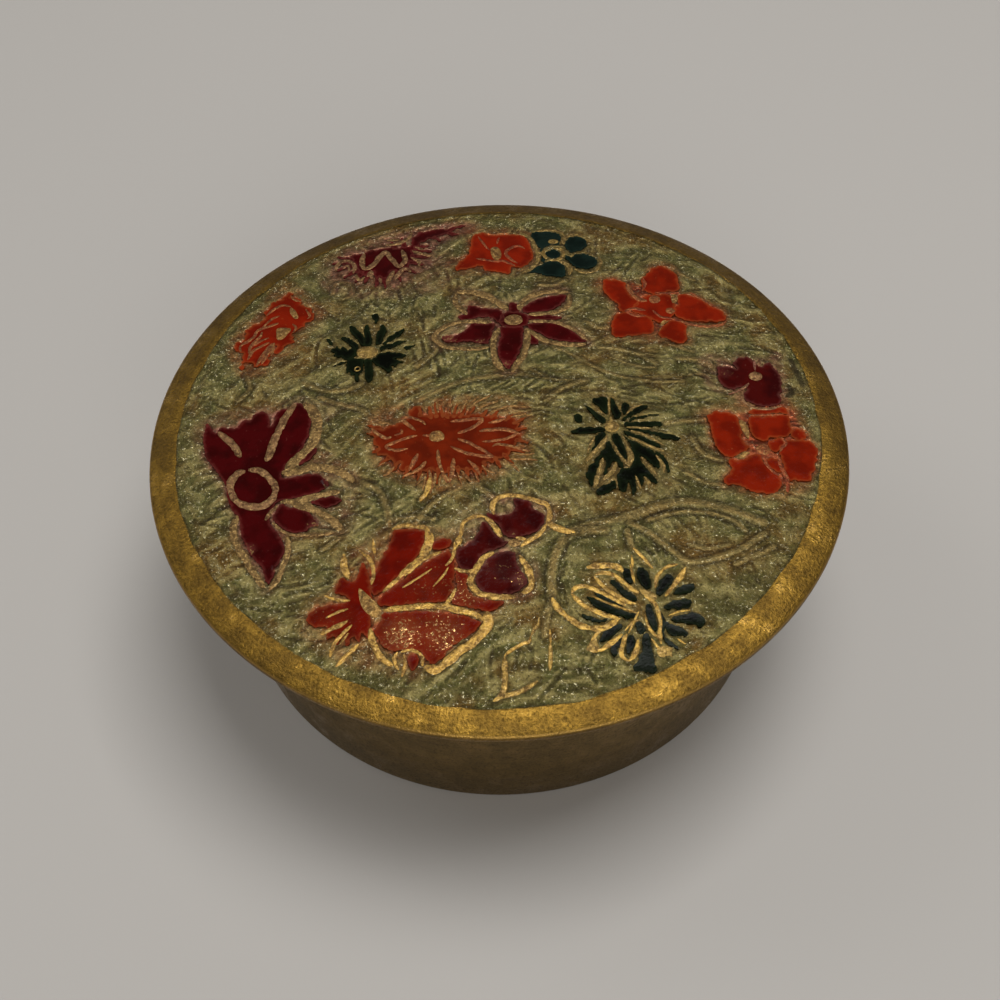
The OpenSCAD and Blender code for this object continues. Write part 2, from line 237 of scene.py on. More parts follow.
            ".7 | 4.2 41.6, 5.8 40, 6.5 38, 7 36, 6.7 34, 5.6 32.4, 4.2 31.2"]},
    "star_orange": {
        "glaze": "orange", "soak": 1.4, "fringe": 0.15, "grow": 0.22,
        "cells": [
            "25.1 32, 26.2 32.8, 27.2 32.3, 28.2 31, 28.6 29.5, 28.5 28, 28.2 27.3, 26.7 26.9,"
            "25 26.4, 23.5 27, 23 28, 23.2 29.5, 24.2 31",
            "17.1 29, 18 29.4, 20.1 28.9, 20.1 27.5, 20.7 25.5, 21.7 24.6, 21.4 23.4, 20.4 22.6,"
            "19.3 22.4, 19 24, 17.7 25.8, 17 27",
            "18.2 20.8, 19.7 21.8, 21.5 21.3, 23.2 20.6, 23.8 19, 23.2 17.5, 20 17, 18.1 16.8,"
            "17.7 18, 17.9 19.5",
            "26 19.3, 27.2 20, 28.5 19.3, 28.6 18, 28.2 15.5, 27.5 15.4, 26 16.3, 25 16.8, 25 17.8",
            "28.5 25.9, 30 25.8, 32 24.3, 33.5 23, 34.8 21.8, 34.7 20.5, 32.5 20.3, 30.5 20.3,"
            "29 20.5, 27.6 21.5, 27.8 22.8, 28.3 24",
            "21.8 23.8, 23.4 25.6, 25.4 25.9, 27.2 25.6, 27.4 23.6, 26.8 21.2, 25.6 20, 24.2 20.4,"
            "22.6 21.6, 21 22.4"],
        "bosses": ["24.6 24.9 .9 .9", "26.8 22.3 .7 .7"],
        "pads": [
            "27.6 26.2, 28.3 25.6, 27.9 24.2, 27.3 24.2, 27.2 25.4",
            "26.4 20, 25.6 19.4, 24.6 17.6, 24.2 17, 24.8 19, 25.6 20.2"],
        "lines": [
            ".8 | 20.6 28.8, 21 27, 21.8 25.2, 23.4 24.6", ".5 | 24.8 26.5, 26.6 26.4, 28.6 26.6",
            ".5 | 24.1 22.4, 25.2 21, 26.6 20.6, 28.6 19.9", ".6 | 19.8 22.2, 21.2 22.8, 23 22.4",
            ".5 | 20 22, 21.4 21.2, 23 21.2",
            ".6 | 28.2 19.9, 30 19.3, 32 18.9, 34.2 19.3, 35.2 20.2",
            ".4 | 30.3 26.6, 32.6 24.4, 34.6 22.6", ".5 | 22.8 26.8, 23.4 28.4, 23.2 30"],
        "washes": [
            ".95 | 18.8 24, 20.7 28.9, 23.5 28, 28.8 27.4, 28.5 22, 29 19.8, 28.4 19.4, 24.6 17,"
            "23 20.4, 19.4 22",
            ".4 | 16.2 30.4, 22 30, 25 34, 28.8 32.6, 29.4 27, 36 21.4, 35 18.4, 30 18, 29.4 14.4,"
            "22 15.4, 16.6 16, 17.6 23.4, 15.8 27"]},
    "star_crimson": {
        "glaze": "crimson",
        "cells": [
            "4 22.8, 4.3 23.5, 5.9 24.7, 7.4 25.5, 9.2 25.9, 10.8 26.1, 10.9 25.5, 10.2 24.1,"
            "9.2 23.2, 8 22.5, 6.2 22.2, 4.3 22.2",
            "5 21.5, 7 21.6, 9 21.3, 10 20.9, 9 20.5, 7 20.5, 5 20.6",
            "4.9 19.5, 6.2 19.8, 8.6 19.8, 10.5 18.9, 11.7 17.6, 13.2 16.1, 13.5 15.5, 11.7 15.5,"
            "9.8 15.8, 8 16.4, 6.5 17.6, 5.2 18.5",
            "4.9 18, 5.6 17, 6.3 15.8, 6.1 15.2, 5.2 15.4, 4.9 16.6",
            ".6 18.9, 2.2 19, 4 19, 4 17.3, 4 15.8, 3.4 13.6, 2.8 12.1, 2.2 10.9, 1.6 10, .9 10.9,"
            ".3 12.7, .2 14.6, .6 16.7",
            "-.3 19.8, -2.1 19.8, -3.7 20.1, -4.3 18.9, -5.8 17.6, -6.8 17.4, -8 17.4, -8.3 16.8,"
            "-7.4 16.1, -5.6 16, -4.6 16.2, -3 15.8, -1.5 15.5, -.9 16.7, -.6 18.2",
            "-4.2 24, -2.4 23.4, -.9 23.1, .6 22.8, 1.1 21.9, 1.3 20.4, .3 20.1, -.3 21, -1.8 21.4,"
            "-3.6 21, -4.6 20.3, -5.6 21, -5.8 21.8, -4.4 22",
            "2 24.2, 3.2 24.3, 3.6 23, 3.4 22.2, 2.2 22.2",
            "1.2 22, 2.2 22.4, 3.4 22.3, 4.4 21.9, 5 21, 5 20, 4.4 19.2, 3 18.9, 1.6 19, .6 19.6,"
            ".5 20.8"],
        "bosses": ["2.65 20.5 1.4 1.15"],
        "lines": [
            ".9 | 3.6 22.7, 4.1 24.5, 6 26.2, 8.6 26.9, 11.3 26.8",
            ".8 | 11.5 26.3, 11.2 24, 10 22.5, 7.6 21.9, 5 21.7",
            ".7 | 5 20.2, 7.4 20.1, 9.8 19.5, 12 18, 13.7 15.8",
            ".9 | 4.6 18.6, 6.2 16.8, 8 15.6, 10.6 15, 13.4 15",
            ".9 | .4 18.8, -.4 16, -.5 13.6, 0 11.4, 1 9.5",
            ".9 | 4.5 18.5, 4.6 15.8, 4 13.2, 3 11, 2.2 9.3",
            ".8 | -.6 20.1, -4 20.5, -6.4 20.1, -8 19.2, -9.3 17.6, -8.7 15.8, -7 14.8, -3.4 14.4,"
            "-1.2 14.7",
            "1.1 | 1.8 22.8, .2 24.8, -1.8 26.4, -4 27.2, -6 27.2",
            ".8 | -6.2 27, -6.3 25, -5.4 23.2, -4.4 22"],
        "washes": [
            ".5 | -6.6 28, -3 28, .8 25, 3.4 24.8, 6 27.6, 11.8 27.6, 11 22.2, 13.2 18.4, 14.4 14.6,"
            "6 14.8, 3 9, .4 8.8, -1.2 14.6, -8.6 14.4, -10 17.4, -7 20.4, -6 22"],
        "worn": ["1.3 11.2 .7 .9", "-7.2 16.7 1 .9", "-2 21.3 1 .4", "-2.4 15.8 .9 .5"]},
    "aster_brick": {
        "glaze": "brick", "fringe": 0.55,
        "spikes": (".6 | -11.2 1, -11.3 2.9, -9.6 .6, -10 3, -8.9 .8, -9.2 3.9, -8 .8, -8.1 3.2,"
                   "-7.3 .6, -7 3, -6.4 .6, -5.9 3.3, -5.4 .6, -4.6 3, -4.4 .8, -3.2 2.8, -2.4 .6,"
                   "-1.4 2.2, -1 .4, .2 1.8, 1 -.2, 2.2 1, 2.2 -.8, 4 .3, 2.4 -2, 4.2 -1.7, 2.4 -3.8,"
                   "4.2 -4.5, 1 -5.2, 3.6 -6.3, .6 -6.4, 2.2 -8.4, -.6 -7, .2 -9.2, -2.2 -7.8,"
                   "-1.8 -10.2, -3.2 -8.6, -3 -11, -4.6 -8.8, -4.2 -11.2, -5.8 -8.6, -5.6 -11,"
                   "-6.9 -8.8, -7 -11.4, -8.5 -8.8, -8.7 -11.6, -9.7 -8.8, -10 -12, -10.9 -8.6,"
                   "-11.4 -11, -12.6 -8.2, -13.4 -10.4, -14 -7.2, -15 -9.2, -15.4 -6.4, -17 -8.2,"
                   "-16.8 -4.8, -18.2 -5.8, -17 -2.4, -18.9 -1.8, -17 -1, -18.8 -.3"),
        "cells": [
            "-17.3 -.6, -15.4 -.9, -13.9 -.1, -13 .8, -13.1 2.6, -11.9 2.8, -11.1 1.4, -9.9 1.4,"
            "-8.1 2, -7.1 .9, -5.6 1, -4 1.1, -2.5 1.1, -1 .8, .9 .2, 2.4 -.1, 2.8 -2, 2.8 -4.1,"
            "1.5 -5.4, 1.2 -6.6, -.4 -7.5, -1.6 -8.1, -2.8 -9.8, -4.7 -9.3, -6.2 -9, -7.8 -9.8,"
            "-9 -9, -10.5 -9.3, -12.4 -9, -13.6 -8.4, -13.9 -7.5, -16 -6.3, -17.3 -4.7, -17.6 -3.2"],
        "bosses": ["-8.8 -2.9 1.05 1.05"],
        "lines": [
            ".55 | -6.8 -.2, -5 .1, -3.4 .3, -2.3 .1, -3.2 -1, -4.4 -1.8, -5.8 -2.4",
            ".5 | -1.4 -.6, 0 -.2, 1.2 .3", ".6 | -2.7 -2.1, -1.2 -1.9, .8 -1.9, 2 -2.3, 2.9 -2.8",
            ".5 | 2.9 -2.6, 1 -3.6, -.8 -4, -2.3 -4.1",
            ".5 | -5.8 -3.4, -4 -4.4, -2.6 -5.4, -1.6 -6.2, -.8 -6.9",
            ".5 | -6.8 -4.8, -5.2 -5.8, -3.4 -6.5, -.8 -7",
            ".5 | -.9 -5, -.2 -4.6, 1.6 -5, 3.2 -5.6, 4.4 -6",
            ".5 | -11.6 -2.6, -13.4 -3.1, -14.9 -3.8, -16 -4.5, -14.6 -5.2, -12.8 -5",
            ".5 | -11.8 -1.6, -13 -.4, -13.8 .8, -12.6 .9, -11 .1, -10.4 -.6",
            ".5 | -18.2 -.9, -17 -2.2, -16 -2.9, -15.2 -2.7", ".5 | -18.2 0, -16.6 .1, -15.2 -.5",
            ".45 | -14.8 -2.4, -13.8 -2, -13.9 -1.3", ".5 | -10.8 -2.6, -9.4 -2.7",
            ".6 | -11.4 -6, -12 -7.6, -12.6 -9", ".6 | -10.2 -7.4, -11.2 -8.8, -13.4 -10",
            ".5 | -8.6 -5.4, -8.4 -7.6, -7.8 -9.8, -7.2 -11.4", ".6 | -6.4 -7, -6.5 -9, -7 -11.4",
            ".5 | -9.8 -9, -9.4 -11.2, -9.6 -13.2", ".4 | -10.6 -9.6, -11.6 -11.8",
            ".4 | -8.9 -9.6, -9 -12", ".5 | -4.4 -7.4, -3.4 -8.6, -2.6 -10.2",
            ".5 | -5.4 -9.2, -4.4 -10.6, -3.9 -11.4", ".4 | -2.4 -8.4, -1.6 -9.4, -.6 -9.8",
            ".4 | -7.8 1.6, -8 3.4, -7.6 4.2", ".4 | -6.6 1.4, -6.4 3.2", ".4 | -6 1.3, -5.4 3",
            ".4 | -4.6 2, -3.2 3.4, -1 4.8", ".4 | -3.4 1.4, -2 2.8, 0 3.6",
            ".4 | -1.4 1.2, 0 2, 2 2.6, 4.6 2.3", ".4 | 1.8 .4, 3.2 .9, 4 1.1",
            ".4 | .6 -7.4, 2 -8.6, 2.8 -9.6", ".4 | 1.4 -7.4, 3.6 -7.4, 5.4 -7.7",
            ".35 | -9.2 1.4, -9.5 3", ".35 | -8.6 1.6, -8.9 4.2", ".35 | -7.2 1.4, -6.9 4.6",
            ".35 | -5.4 1.5, -4.4 4.2", ".35 | -4.4 3, -2.6 4.8", ".35 | -10.4 1.8, -11 3.2",
            ".35 | -10.2 -9.6, -10.6 -12.6", ".35 | -8.2 -9.9, -8.4 -12.2",
            ".35 | -7.6 -9.8, -6.6 -12", ".35 | -5.8 -9.6, -5.2 -11.8", ".35 | -3.4 -9.6, -2.8 -11.4",
            ".4 | 1.8 -6.2, 3.4 -6.6, 5 -6.4", ".4 | -14.6 -8.2, -15.6 -9.4, -16.2 -9.8",
            ".4 | -16 -7.4, -17 -8"],
        "washes": [
            ".4 | -19 1, -13.4 4, -8 4.6, -1 5, 4.6 2.6, 4 -4, 5 -7.6, 1 -10, -4 -12, -10 -12.6,"
            "-16.4 -9.6, -18.6 -5"]},
    "daisy_green_right": {
        "glaze": "green",
        "cells": [
            "12.5 2.4, 13.1 2.1, 14 1.2, 14.9 .4, 15.4 -.3, 15.2 -1, 14.5 -.6, 13.7 .5",
            "13.6 3.4, 14.2 4, 15.3 4.1, 15.9 3.9, 15.8 2, 15.7 .8, 15.2 1.3, 14.5 2.4",
            "16.3 3.9, 16.7 3.6, 17.2 2.2, 17.7 1, 17.6 .3, 16.9 -.1, 16.5 .6",
            "17.9 2.6, 18.3 3, 18.9 2.4, 18.6 1.5, 18.2 .6, 17.9 1.2",
            "21.7 2.4, 20.6 2.3, 19.4 1.5, 18.3 .5, 17.9 -.4, 18.8 .1, 20.2 1, 21.2 1.8",
            "18.7 -.7, 20.4 0, 22.4 .4, 23.2 .6, 22.4 .7, 20.6 .4, 19.2 0",
            "18 -1.5, 19.6 -1.6, 21.6 -1.6, 23.2 -1.5, 23.3 -.8, 21.4 -.7, 19.4 -.8, 18.2 -.9",
            "18.2 -2, 20 -2.1, 21.8 -2.5, 23.5 -2.9, 25 -3.4, 25.9 -3.9, 25.2 -4.1, 23.8 -3.9,"
            "22 -3.2, 20.5 -2.7, 19 -2.3",
            "17.8 -2.4, 19 -2.9, 20.4 -3.5, 21.8 -4.4, 22.8 -5.4, 21.6 -5.3, 20.2 -4.6, 18.8 -3.7,"
            "17.9 -3",
            "17.4 -2.8, 18.4 -3.9, 20 -5, 21.3 -5.9, 22.1 -7.1, 22.4 -8.6, 22.3 -9.4, 21.6 -8.8,"
            "20.8 -7.9, 20 -7.1, 19.6 -7.4, 20.2 -8.9, 21 -10.2, 21.8 -11.5, 21.6 -12, 20.6 -11.3,"
            "19.9 -10.5, 19.9 -11.6, 19.6 -12.4, 19 -11.8, 18.8 -10.8, 18.7 -12, 18.7 -13.4,"
            "18.3 -14, 18 -12.6, 17.8 -11.6, 17.5 -12.6, 17 -13.5, 16.5 -13, 16.3 -11.8, 16.5 -10.2,"
            "17 -9.4, 17.9 -9.2, 18.6 -8.6, 18.8 -7.2, 18.8 -6, 18.5 -4.8, 17.8 -3.6",
            "21.9 -6.3, 22.6 -6.4, 23.3 -7.6, 23.7 -8.9, 23.5 -10, 23.1 -8.8, 22.6 -7.4",
            "13.2 -13.3, 14 -12.4, 15 -12, 15.9 -11.4, 16.1 -12.2, 15.6 -13.1, 14.6 -13.8,"
            "13.6 -13.9",
            "15.6 -4.2, 16.1 -5.8, 16.7 -7.2, 17.3 -8.6, 16.9 -9.2, 16.2 -8, 15.5 -8.6, 14.7 -10.4,"
            "14.5 -10.2, 14.9 -8, 14.5 -7.2, 13.6 -8.5, 13.2 -8.2, 14 -6.9, 14.9 -5.6",
            "16.1 -3.1, 16.9 -3, 17.4 -4.2, 17.8 -5.8, 17.8 -7.2, 17.5 -7.6, 16.8 -6.4, 16.3 -4.8",
            "15 -2.8, 14.2 -2.8, 13.7 -3.8, 13.4 -5.2, 12.9 -6.2, 13.6 -5.6, 14.4 -4.4, 15.1 -3.4",
            "13.6 -8, 13.9 -8.8, 13.4 -10, 13 -11.5, 12.6 -12.6, 12.4 -11.4, 12 -10.6, 12.3 -9.4,"
            "12.9 -8.4",
            "15 -1.8, 13.4 -1.7, 11.6 -1.8, 10.4 -2.3, 10.6 -2.7, 11.8 -2.9, 13.4 -2.8, 15 -2.4",
            "11 -.4, 11 .5, 11.6 .9, 12.1 .3, 12 -.4, 11.5 -.8"],
        "bosses": ["16.2 -1.7 1.05 1.05"],
        "lines": [
            ".5 | 16.1 -1.3, 16.1 .3", ".35 | 17.4 -2.9, 17.9 -4.4, 18.3 -6",
            ".8 | 18.1 -5.4, 18.4 -7.2, 18 -9", ".35 | 18.8 -2.4, 20.6 -3.1, 22.2 -4.2, 23.3 -5.3",
            ".4 | 18.4 -3.5, 20.5 -4.8, 22.5 -5.9, 23.3 -6.3", ".3 | 18.3 -1.8, 20 -1.85, 21.8 -2",
            ".5 | 19.9 -7.3, 20.8 -8.9, 21.9 -10.6", ".6 | 15.4 -3.4, 14.4 -5, 13.2 -6.6, 12.2 -8",
            ".7 | 14.5 -7.5, 14.2 -9, 13.6 -10.8, 13 -12.6",
            ".7 | 16.3 -8.2, 16 -9.2, 15.3 -10.3, 14.2 -11.6",
            ".35 | 16.1 -4.6, 16.8 -6.6, 17.6 -8.2, 18 -9", ".35 | 13.4 2.8, 14.4 1.6, 15.4 .6",
            ".35 | 16.1 3.8, 16 2, 16 .6", ".35 | 18.4 .7, 19.4 1.9, 20.8 2.6",
            ".4 | 18.8 -10.6, 19.2 -12, 19.4 -13", ".5 | 22 -7, 22.8 -8.6, 22.9 -10.2",
            ".4 | 20 -10.8, 20.6 -11.8, 20.5 -13", ".4 | 13.6 -3.6, 12.8 -5.4, 12.4 -6.6"]},
    "violet_maroon": {
        "glaze": "maroon", "soak": 1.0, "fringe": 0.15,
        "cells": [
            "32.6 9.8, 33.2 10.3, 34.5 10.2, 35.6 9.8, 35.2 11.2, 36.4 12.2, 37.8 12, 38.2 10.6,"
            "38.6 11, 39.4 10.3, 40.4 11.3, 41.2 10, 41.8 8.7, 41.7 7.1, 41.6 5.6, 41.2 5, 41.2 3.4,"
            "39.9 2.5, 37.8 2.5, 36.2 3.5, 35.8 4.8, 36.4 5.8, 35.2 6.1, 34.4 5.6, 33 6.4, 32.6 7.7"],
        "bosses": ["38.1 8.3 .95 .95"],
        "lines": [
            ".4 | 38.3 11.8, 38.2 9.6", ".5 | 39 11.9, 38.9 10.4",
            ".4 | 36.9 6.9, 35.9 5.9, 34.6 5.1, 33.6 4.7",
            ".5 | 35.7 5.2, 35.6 3.6, 36.7 2.2, 38.8 1.9, 41 2.4"],
        "washes": [
            ".6 | 30 11.5, 32 13, 36 13, 40 12.5, 42 13.6, 42.8 11, 42.4 4, 41.8 1.4, 35 1.6,"
            "34.4 4.2, 31.6 5.4, 30.5 7"],
        "worn": ["33.6 9 1 .35"]},
    "mallow_orange": {
        "glaze": "orange", "soak": 1.4, "fringe": 0.15, "grow": 0.22,
        "cells": [
            "30.3 .3, 31.2 1.1, 32 .9, 34 .4, 34.2 -.8, 34.3 -2.9, 34.6 -4.5, 35.3 -5.5, 34.1 -6.2,"
            "33 -7, 31.7 -6.8, 31 -5.5, 30.6 -3.4, 30.4 -1.8",
            "36.2 -.1, 38 .2, 41.4 .4, 41.7 -1.8, 41.2 -2.9, 40.1 -3.2, 38.6 -3.5, 37.3 -3.9,"
            "36.5 -3.2, 36 -1.8",
            "36.2 1.3, 38 1.7, 39.6 1.9, 41.3 2, 41.5 1.3, 40 1.2, 38 1, 36.4 1",
            "39.9 -5.5, 40.9 -4.4, 42.2 -4.3, 43.8 -4.4, 44.8 -5.6, 44.3 -7.9, 43.6 -9.7, 42.8 -11,"
            "41.4 -11.1, 40.1 -11, 39.9 -9.2, 39.7 -7.1",
            "42.1 -2.2, 43.2 -2.3, 43.5 -3.2, 42.8 -3.9, 42 -3.5",
            "32.4 -7.9, 34.1 -8, 36.2 -6.9, 37 -8.4, 37.8 -9.7, 38.7 -10.8, 38.6 -12.3, 37.6 -13.5,"
            "35.9 -13.4, 34.3 -12.9, 33.3 -12.1, 31.4 -11.7, 32.2 -10.2, 32.6 -9.2",
            "37.5 -7.9, 38.6 -7.6, 39.3 -8.4, 39.2 -9.8, 38.4 -9.4, 37.8 -8.8",
            "38.6 -4.6, 40 -4, 40.6 -4.5, 39.8 -5.4, 38.9 -6, 38.5 -5.4"],
        "bosses": ["37.3 -5.9 1.05 1.05"],
        "pads": [
            "34.5 -.5, 35.3 -.7, 35.7 -2, 35.5 -3.9, 34.9 -2.8",
            "33 -7.4, 34.3 -6.4, 35.7 -6, 35.2 -6.9, 34 -7.6"],
        "lines": [
            ".5 | 37.2 -7.2, 37.4 -8.6, 38.2 -9.9, 38.9 -10.6",
            ".6 | 39.2 -7, 39.5 -9, 39.9 -11.5, 39.7 -13.5", ".35 | 36.2 .6, 38.5 .7, 41.2 .9",
            ".5 | 40.2 -3.6, 40.6 -4.6, 39.6 -6.2"],
        "washes": [
            ".95 | 34 .8, 36 1, 42 2.4, 43.4 -1.6, 44.4 -4, 40 -12, 38 -11, 36 -7.6, 32.4 -7.4,"
            "34.6 -5.6, 34 -2",
            ".45 | 29.4 1.8, 42.4 3, 44.4 -2, 45.6 -5.6, 43.4 -12, 40.4 -14.4, 36 -14.4, 30.4 -12.6,"
            "31.8 -8.4, 30 -6, 29.6 -2"]},
    "poppy_red": {
        "glaze": "scarlet",
        "cells": [
            "-14.5 -19.7, -14 -19.1, -12.1 -19.1, -10.3 -19.4, -10.2 -20.5, -10.6 -22.4, -11.4 -24,"
            "-12.7 -25.6, -14 -26.9, -15.3 -28.5, -16.2 -29.3, -16.8 -29.3, -17.2 -28.1, -17 -26.6,"
            "-16.2 -24.6, -15.7 -23.1, -14.9 -21.5",
            "-15.9 -29.8, -14 -28.2, -12 -26.2, -10 -24.5, -8 -23.5, -7.2 -22.7, -6.5 -23.8,"
            "-6.1 -25.6, -6.5 -27.8, -6.1 -28.6, -7 -30, -7.8 -30.7, -10.5 -30.8, -13.7 -31.1,"
            "-15.9 -31",
            "-9.2 -22.4, -8.8 -21.2, -7 -20.8, -6.5 -21.4, -7.2 -22.2, -8 -22.5",
            "-6 -26, -4.6 -26.6, -4.6 -28.2, -4.2 -29.4, -3 -30.5, -.6 -30.8, .2 -30.9, -.4 -31.8,"
            "-1.6 -32.4, -3.4 -31.9, -5 -31.5, -6.6 -31, -6.1 -29.6, -5.8 -28.2",
            "-15.7 -33.5, -15.3 -32.3, -12.1 -32.1, -10.2 -32.1, -7.6 -32.5, -5.1 -32.9, -2.9 -34,"
            "-3.5 -35.1, -5.4 -36.7, -7 -38, -7.6 -39, -8.9 -39.9, -9.7 -39.3, -10.2 -38.6,"
            "-10.6 -37.9, -12.1 -37.6, -13 -37.8, -14.3 -37.7, -15.3 -37.2, -15.9 -36, -16.5 -34.8",
            "-12 -38.6, -11.1 -38.4, -10.7 -39.6, -11.4 -40.8, -12 -40",
            "-17 -29.3, -17.5 -26.6, -18.3 -24.3, -18.8 -25.3, -19.1 -26.6, -20 -27.2, -21.1 -26.4,"
            "-21.5 -27.5, -21.9 -28.8, -20.3 -29.4, -20.2 -30.3, -22.2 -30.7, -23.8 -31, -25 -31.9,"
            "-25.4 -32.9, -24.2 -33.9, -22.6 -34, -22.6 -35.8, -21.6 -35.2, -21.2 -36.6, -20.2 -35.2,"
            "-20 -37, -19.1 -35.4, -18.4 -36.4, -18 -35, -17.3 -35.8, -17 -34.2, -17.1 -32.5,"
            "-17 -31"],
        "pads": [
            "-18.7 -28.3, -17.3 -29.6, -15.9 -31.3, -15.7 -32.7, -16.6 -32.8, -17.8 -31.8,"
            "-18.5 -30.3"],
        "lines": [
            ".9 | -21 -22.8, -20.8 -24.6, -20.2 -26.8", ".5 | -23.2 -29.2, -21.6 -29.9, -19.8 -30.1",
            ".4 | -22.8 -32.6, -21.4 -31.8, -20 -31.4", ".6 | -23.4 -35, -21.8 -34.2, -20 -33.2",
            ".5 | -22 -38.4, -21.6 -36.6, -20.4 -35, -19.4 -33.8", ".35 | -20.8 -36.6, -19.8 -35",
            ".6 | -21.2 -39.8, -19.8 -38.2, -18.4 -36.6",
            ".5 | -17.9 -23, -17.1 -24.6, -16.9 -26.4, -17.1 -27.8",
            ".4 | -19 -22.2, -18 -23.2, -17.2 -24.4", ".4 | -17.2 -20.4, -17 -22, -16.8 -23.2",
            ".6 | -14.6 -19, -13.4 -18.4, -11.6 -18.6, -10 -18.9, -9.9 -20.4, -10.2 -22, -10.8 -23.4",
            ".9 | -9.3 -19.9, -9.6 -21.6, -10.4 -23.4, -12 -25.2, -13.6 -27",
            ".5 | -15.6 -29, -13.8 -27.2, -11.8 -25.4, -10.2 -24, -8 -22.9",
            ".3 | -13 -28.4, -11 -27, -9.2 -25.6", ".3 | -9 -28.4, -7.6 -26.6, -7 -25.4",
            ".45 | -6.2 -21.4, -6.2 -23, -6.7 -24.4, -7.4 -25.2",
            ".8 | -15.4 -31.8, -13.4 -31.6, -11.4 -31.4, -9.6 -31.3, -7.4 -31.5, -5.4 -32.2,"
            "-3.8 -32.7, -2.4 -33.6",
            ".6 | -7.4 -31.3, -6.6 -30, -6 -28.8",
            "1.1 | -2 -32.4, -1.9 -33.8, -2.3 -35, -3.6 -36.6, -5.4 -38, -6.8 -39.4, -8.4 -40.6,"
            "-10 -40.3",
            ".8 | -17 -34.4, -16.7 -36.2, -16 -37.8, -15 -39.2, -14 -40",
            ".5 | -13.4 -38, -13.8 -39, -13.2 -40.6", ".5 | -12.6 -38.4, -12.4 -40, -12.8 -41.6",
            ".5 | -10.3 -38.6, -10.2 -40.2", ".5 | -13 -38, -12 -37.8, -10.9 -38.1, -10 -39"],
        "washes": [
            ".55 | -6.4 -25, -4 -26.6, -4.6 -29, -2 -31, .6 -31, -1.6 -33, -8 -31.6, -7.4 -29",
            ".35 | -18 -20, -15 -18, -9 -18.6, -5.6 -21, -5.4 -26, -1 -33, -9 -41.4, -14 -41.4,"
            "-22.8 -38, -26.4 -34, -26 -31, -22.6 -28, -21.6 -24"],
        "worn": [
            "-12.8 -35.4 2.8 .9", "-7.8 -35.6 3.2 .7", "-9.4 -28 4 .14", "-22 -33.5 3 .15",
            "-4.6 -29.6 2.2 .6"]},
    "pansy_maroon": {
        "glaze": "maroon",
        "cells": [
            "-1.9 -16.7, -.3 -17.2, 1 -17, 2 -16.2, 1.8 -14.7, 2.4 -14.4, 4 -15, 4.2 -16, 5 -16.5,"
            "6 -17.2, 5.8 -18.5, 5 -19.7, 3.5 -20.5, 2.2 -21, 1 -20.7, .3 -20.2, -.2 -18.7, -1.2 -18",
            "-2.5 -18.2, -1.8 -18.5, -1 -20, .2 -21.2, 1 -21.5, .3 -22.2, -.8 -22.7, -2 -23.2,"
            "-3 -24.2, -3.6 -25.7, -5.3 -25.6, -5.9 -24, -5.8 -22.7, -4.5 -22, -3.5 -20.7,"
            "-2.8 -19.5",
            "-1.5 -24, 0 -23.2, 1.7 -23.2, 2 -24, 2.2 -25.5, 3 -27, 3.2 -28.2, 2 -29.5, .5 -29.8,"
            "-1.2 -29.8, -2.5 -29.4, -3.4 -28.2, -3.2 -26.7, -2.2 -25"],
        "bosses": ["1.8 -21.8 .8 .65"],
        "lines": [
            ".8 | -2 -17.4, -1.2 -18.4, -.6 -19.4, .1 -20.8",
            ".6 | -5.4 -20.6, -5.2 -18.8, -4.6 -17.8, -3.2 -17.2, -2 -17.3",
            ".8 | -5.6 -21.9, -5.6 -20.4", ".4 | -5.7 -21.6, -6.3 -22.8, -6.5 -24",
            ".8 | -1 -23.2, -2.2 -24, -3.2 -25.4, -3.9 -26.8, -4.1 -28, -3.4 -29.2, -2 -30, 0 -30.2,"
            "1.8 -30.3",
            ".8 | 2.4 -23.8, 3 -25, 3.6 -26.4, 3.9 -28.2, 3.6 -29, 2.6 -29.8",
            ".6 | -6.2 -25.6, -5.2 -26.1, -4 -26.1, -3.4 -25.8",
            ".7 | -.9 -17, -1 -15.4, -.2 -14.2, 1.2 -13.8, 3 -14, 5 -14.8, 6.4 -15.6, 6.7 -17.2,"
            "6.3 -18.8",
            ".6 | 6.2 -18.8, 5.2 -20.4, 3.8 -21.4, 2.6 -22.4",
            ".9 | 6.4 -18, 7 -19, 8.4 -19.8, 10 -20.2", ".5 | 2 -20.9, 3.4 -21.2"],
        "washes": [
            ".6 | -2 -13.6, 6.8 -14.8, 7.4 -17.6, 6 -20.6, 2.8 -23, 1 -21, -1.5 -17",
            ".35 | -6.4 -16.6, -2 -16, 1 -22, 4.6 -24, 4.6 -29.6, 1 -31.4, -5 -30, -7 -24"],
        "worn": ["2.3 -27.6 1.1 .8", "-.4 -26 2 .15", "1.6 -20.4 .8 .4"]},
    "daisy_green_front": {
        "glaze": "green",
        "cells": [
            "11 -30.4, 12.4 -31, 14 -31.9, 15.6 -32.6, 17 -33.1, 17.3 -33.7, 16 -33.7, 14.4 -33.1,"
            "12.8 -32.4, 11.6 -31.5",
            "12 -29.8, 13.2 -30.3, 14.4 -31, 15.6 -31.8, 15.4 -32.1, 13.8 -31.5, 12.6 -30.8",
            "14.2 -27.8, 15 -28.2, 16 -29.2, 17.1 -30.2, 17.5 -31, 16.6 -31, 15.6 -30.1, 14.7 -29,"
            "14.1 -28.3",
            "16 -26.3, 16.7 -26.2, 17 -27.2, 17.2 -28.4, 16.6 -28.3, 16.1 -27.4",
            "17.9 -26.2, 18.7 -26, 19.4 -27, 19.5 -28.6, 18.9 -29.4, 18.3 -28.6, 17.8 -27.3",
            "20.2 -29.4, 20.7 -28.2, 21.6 -27.2, 22.4 -27.2, 22.5 -28, 21.7 -29.1, 20.9 -30.2,"
            "20.3 -30.2",
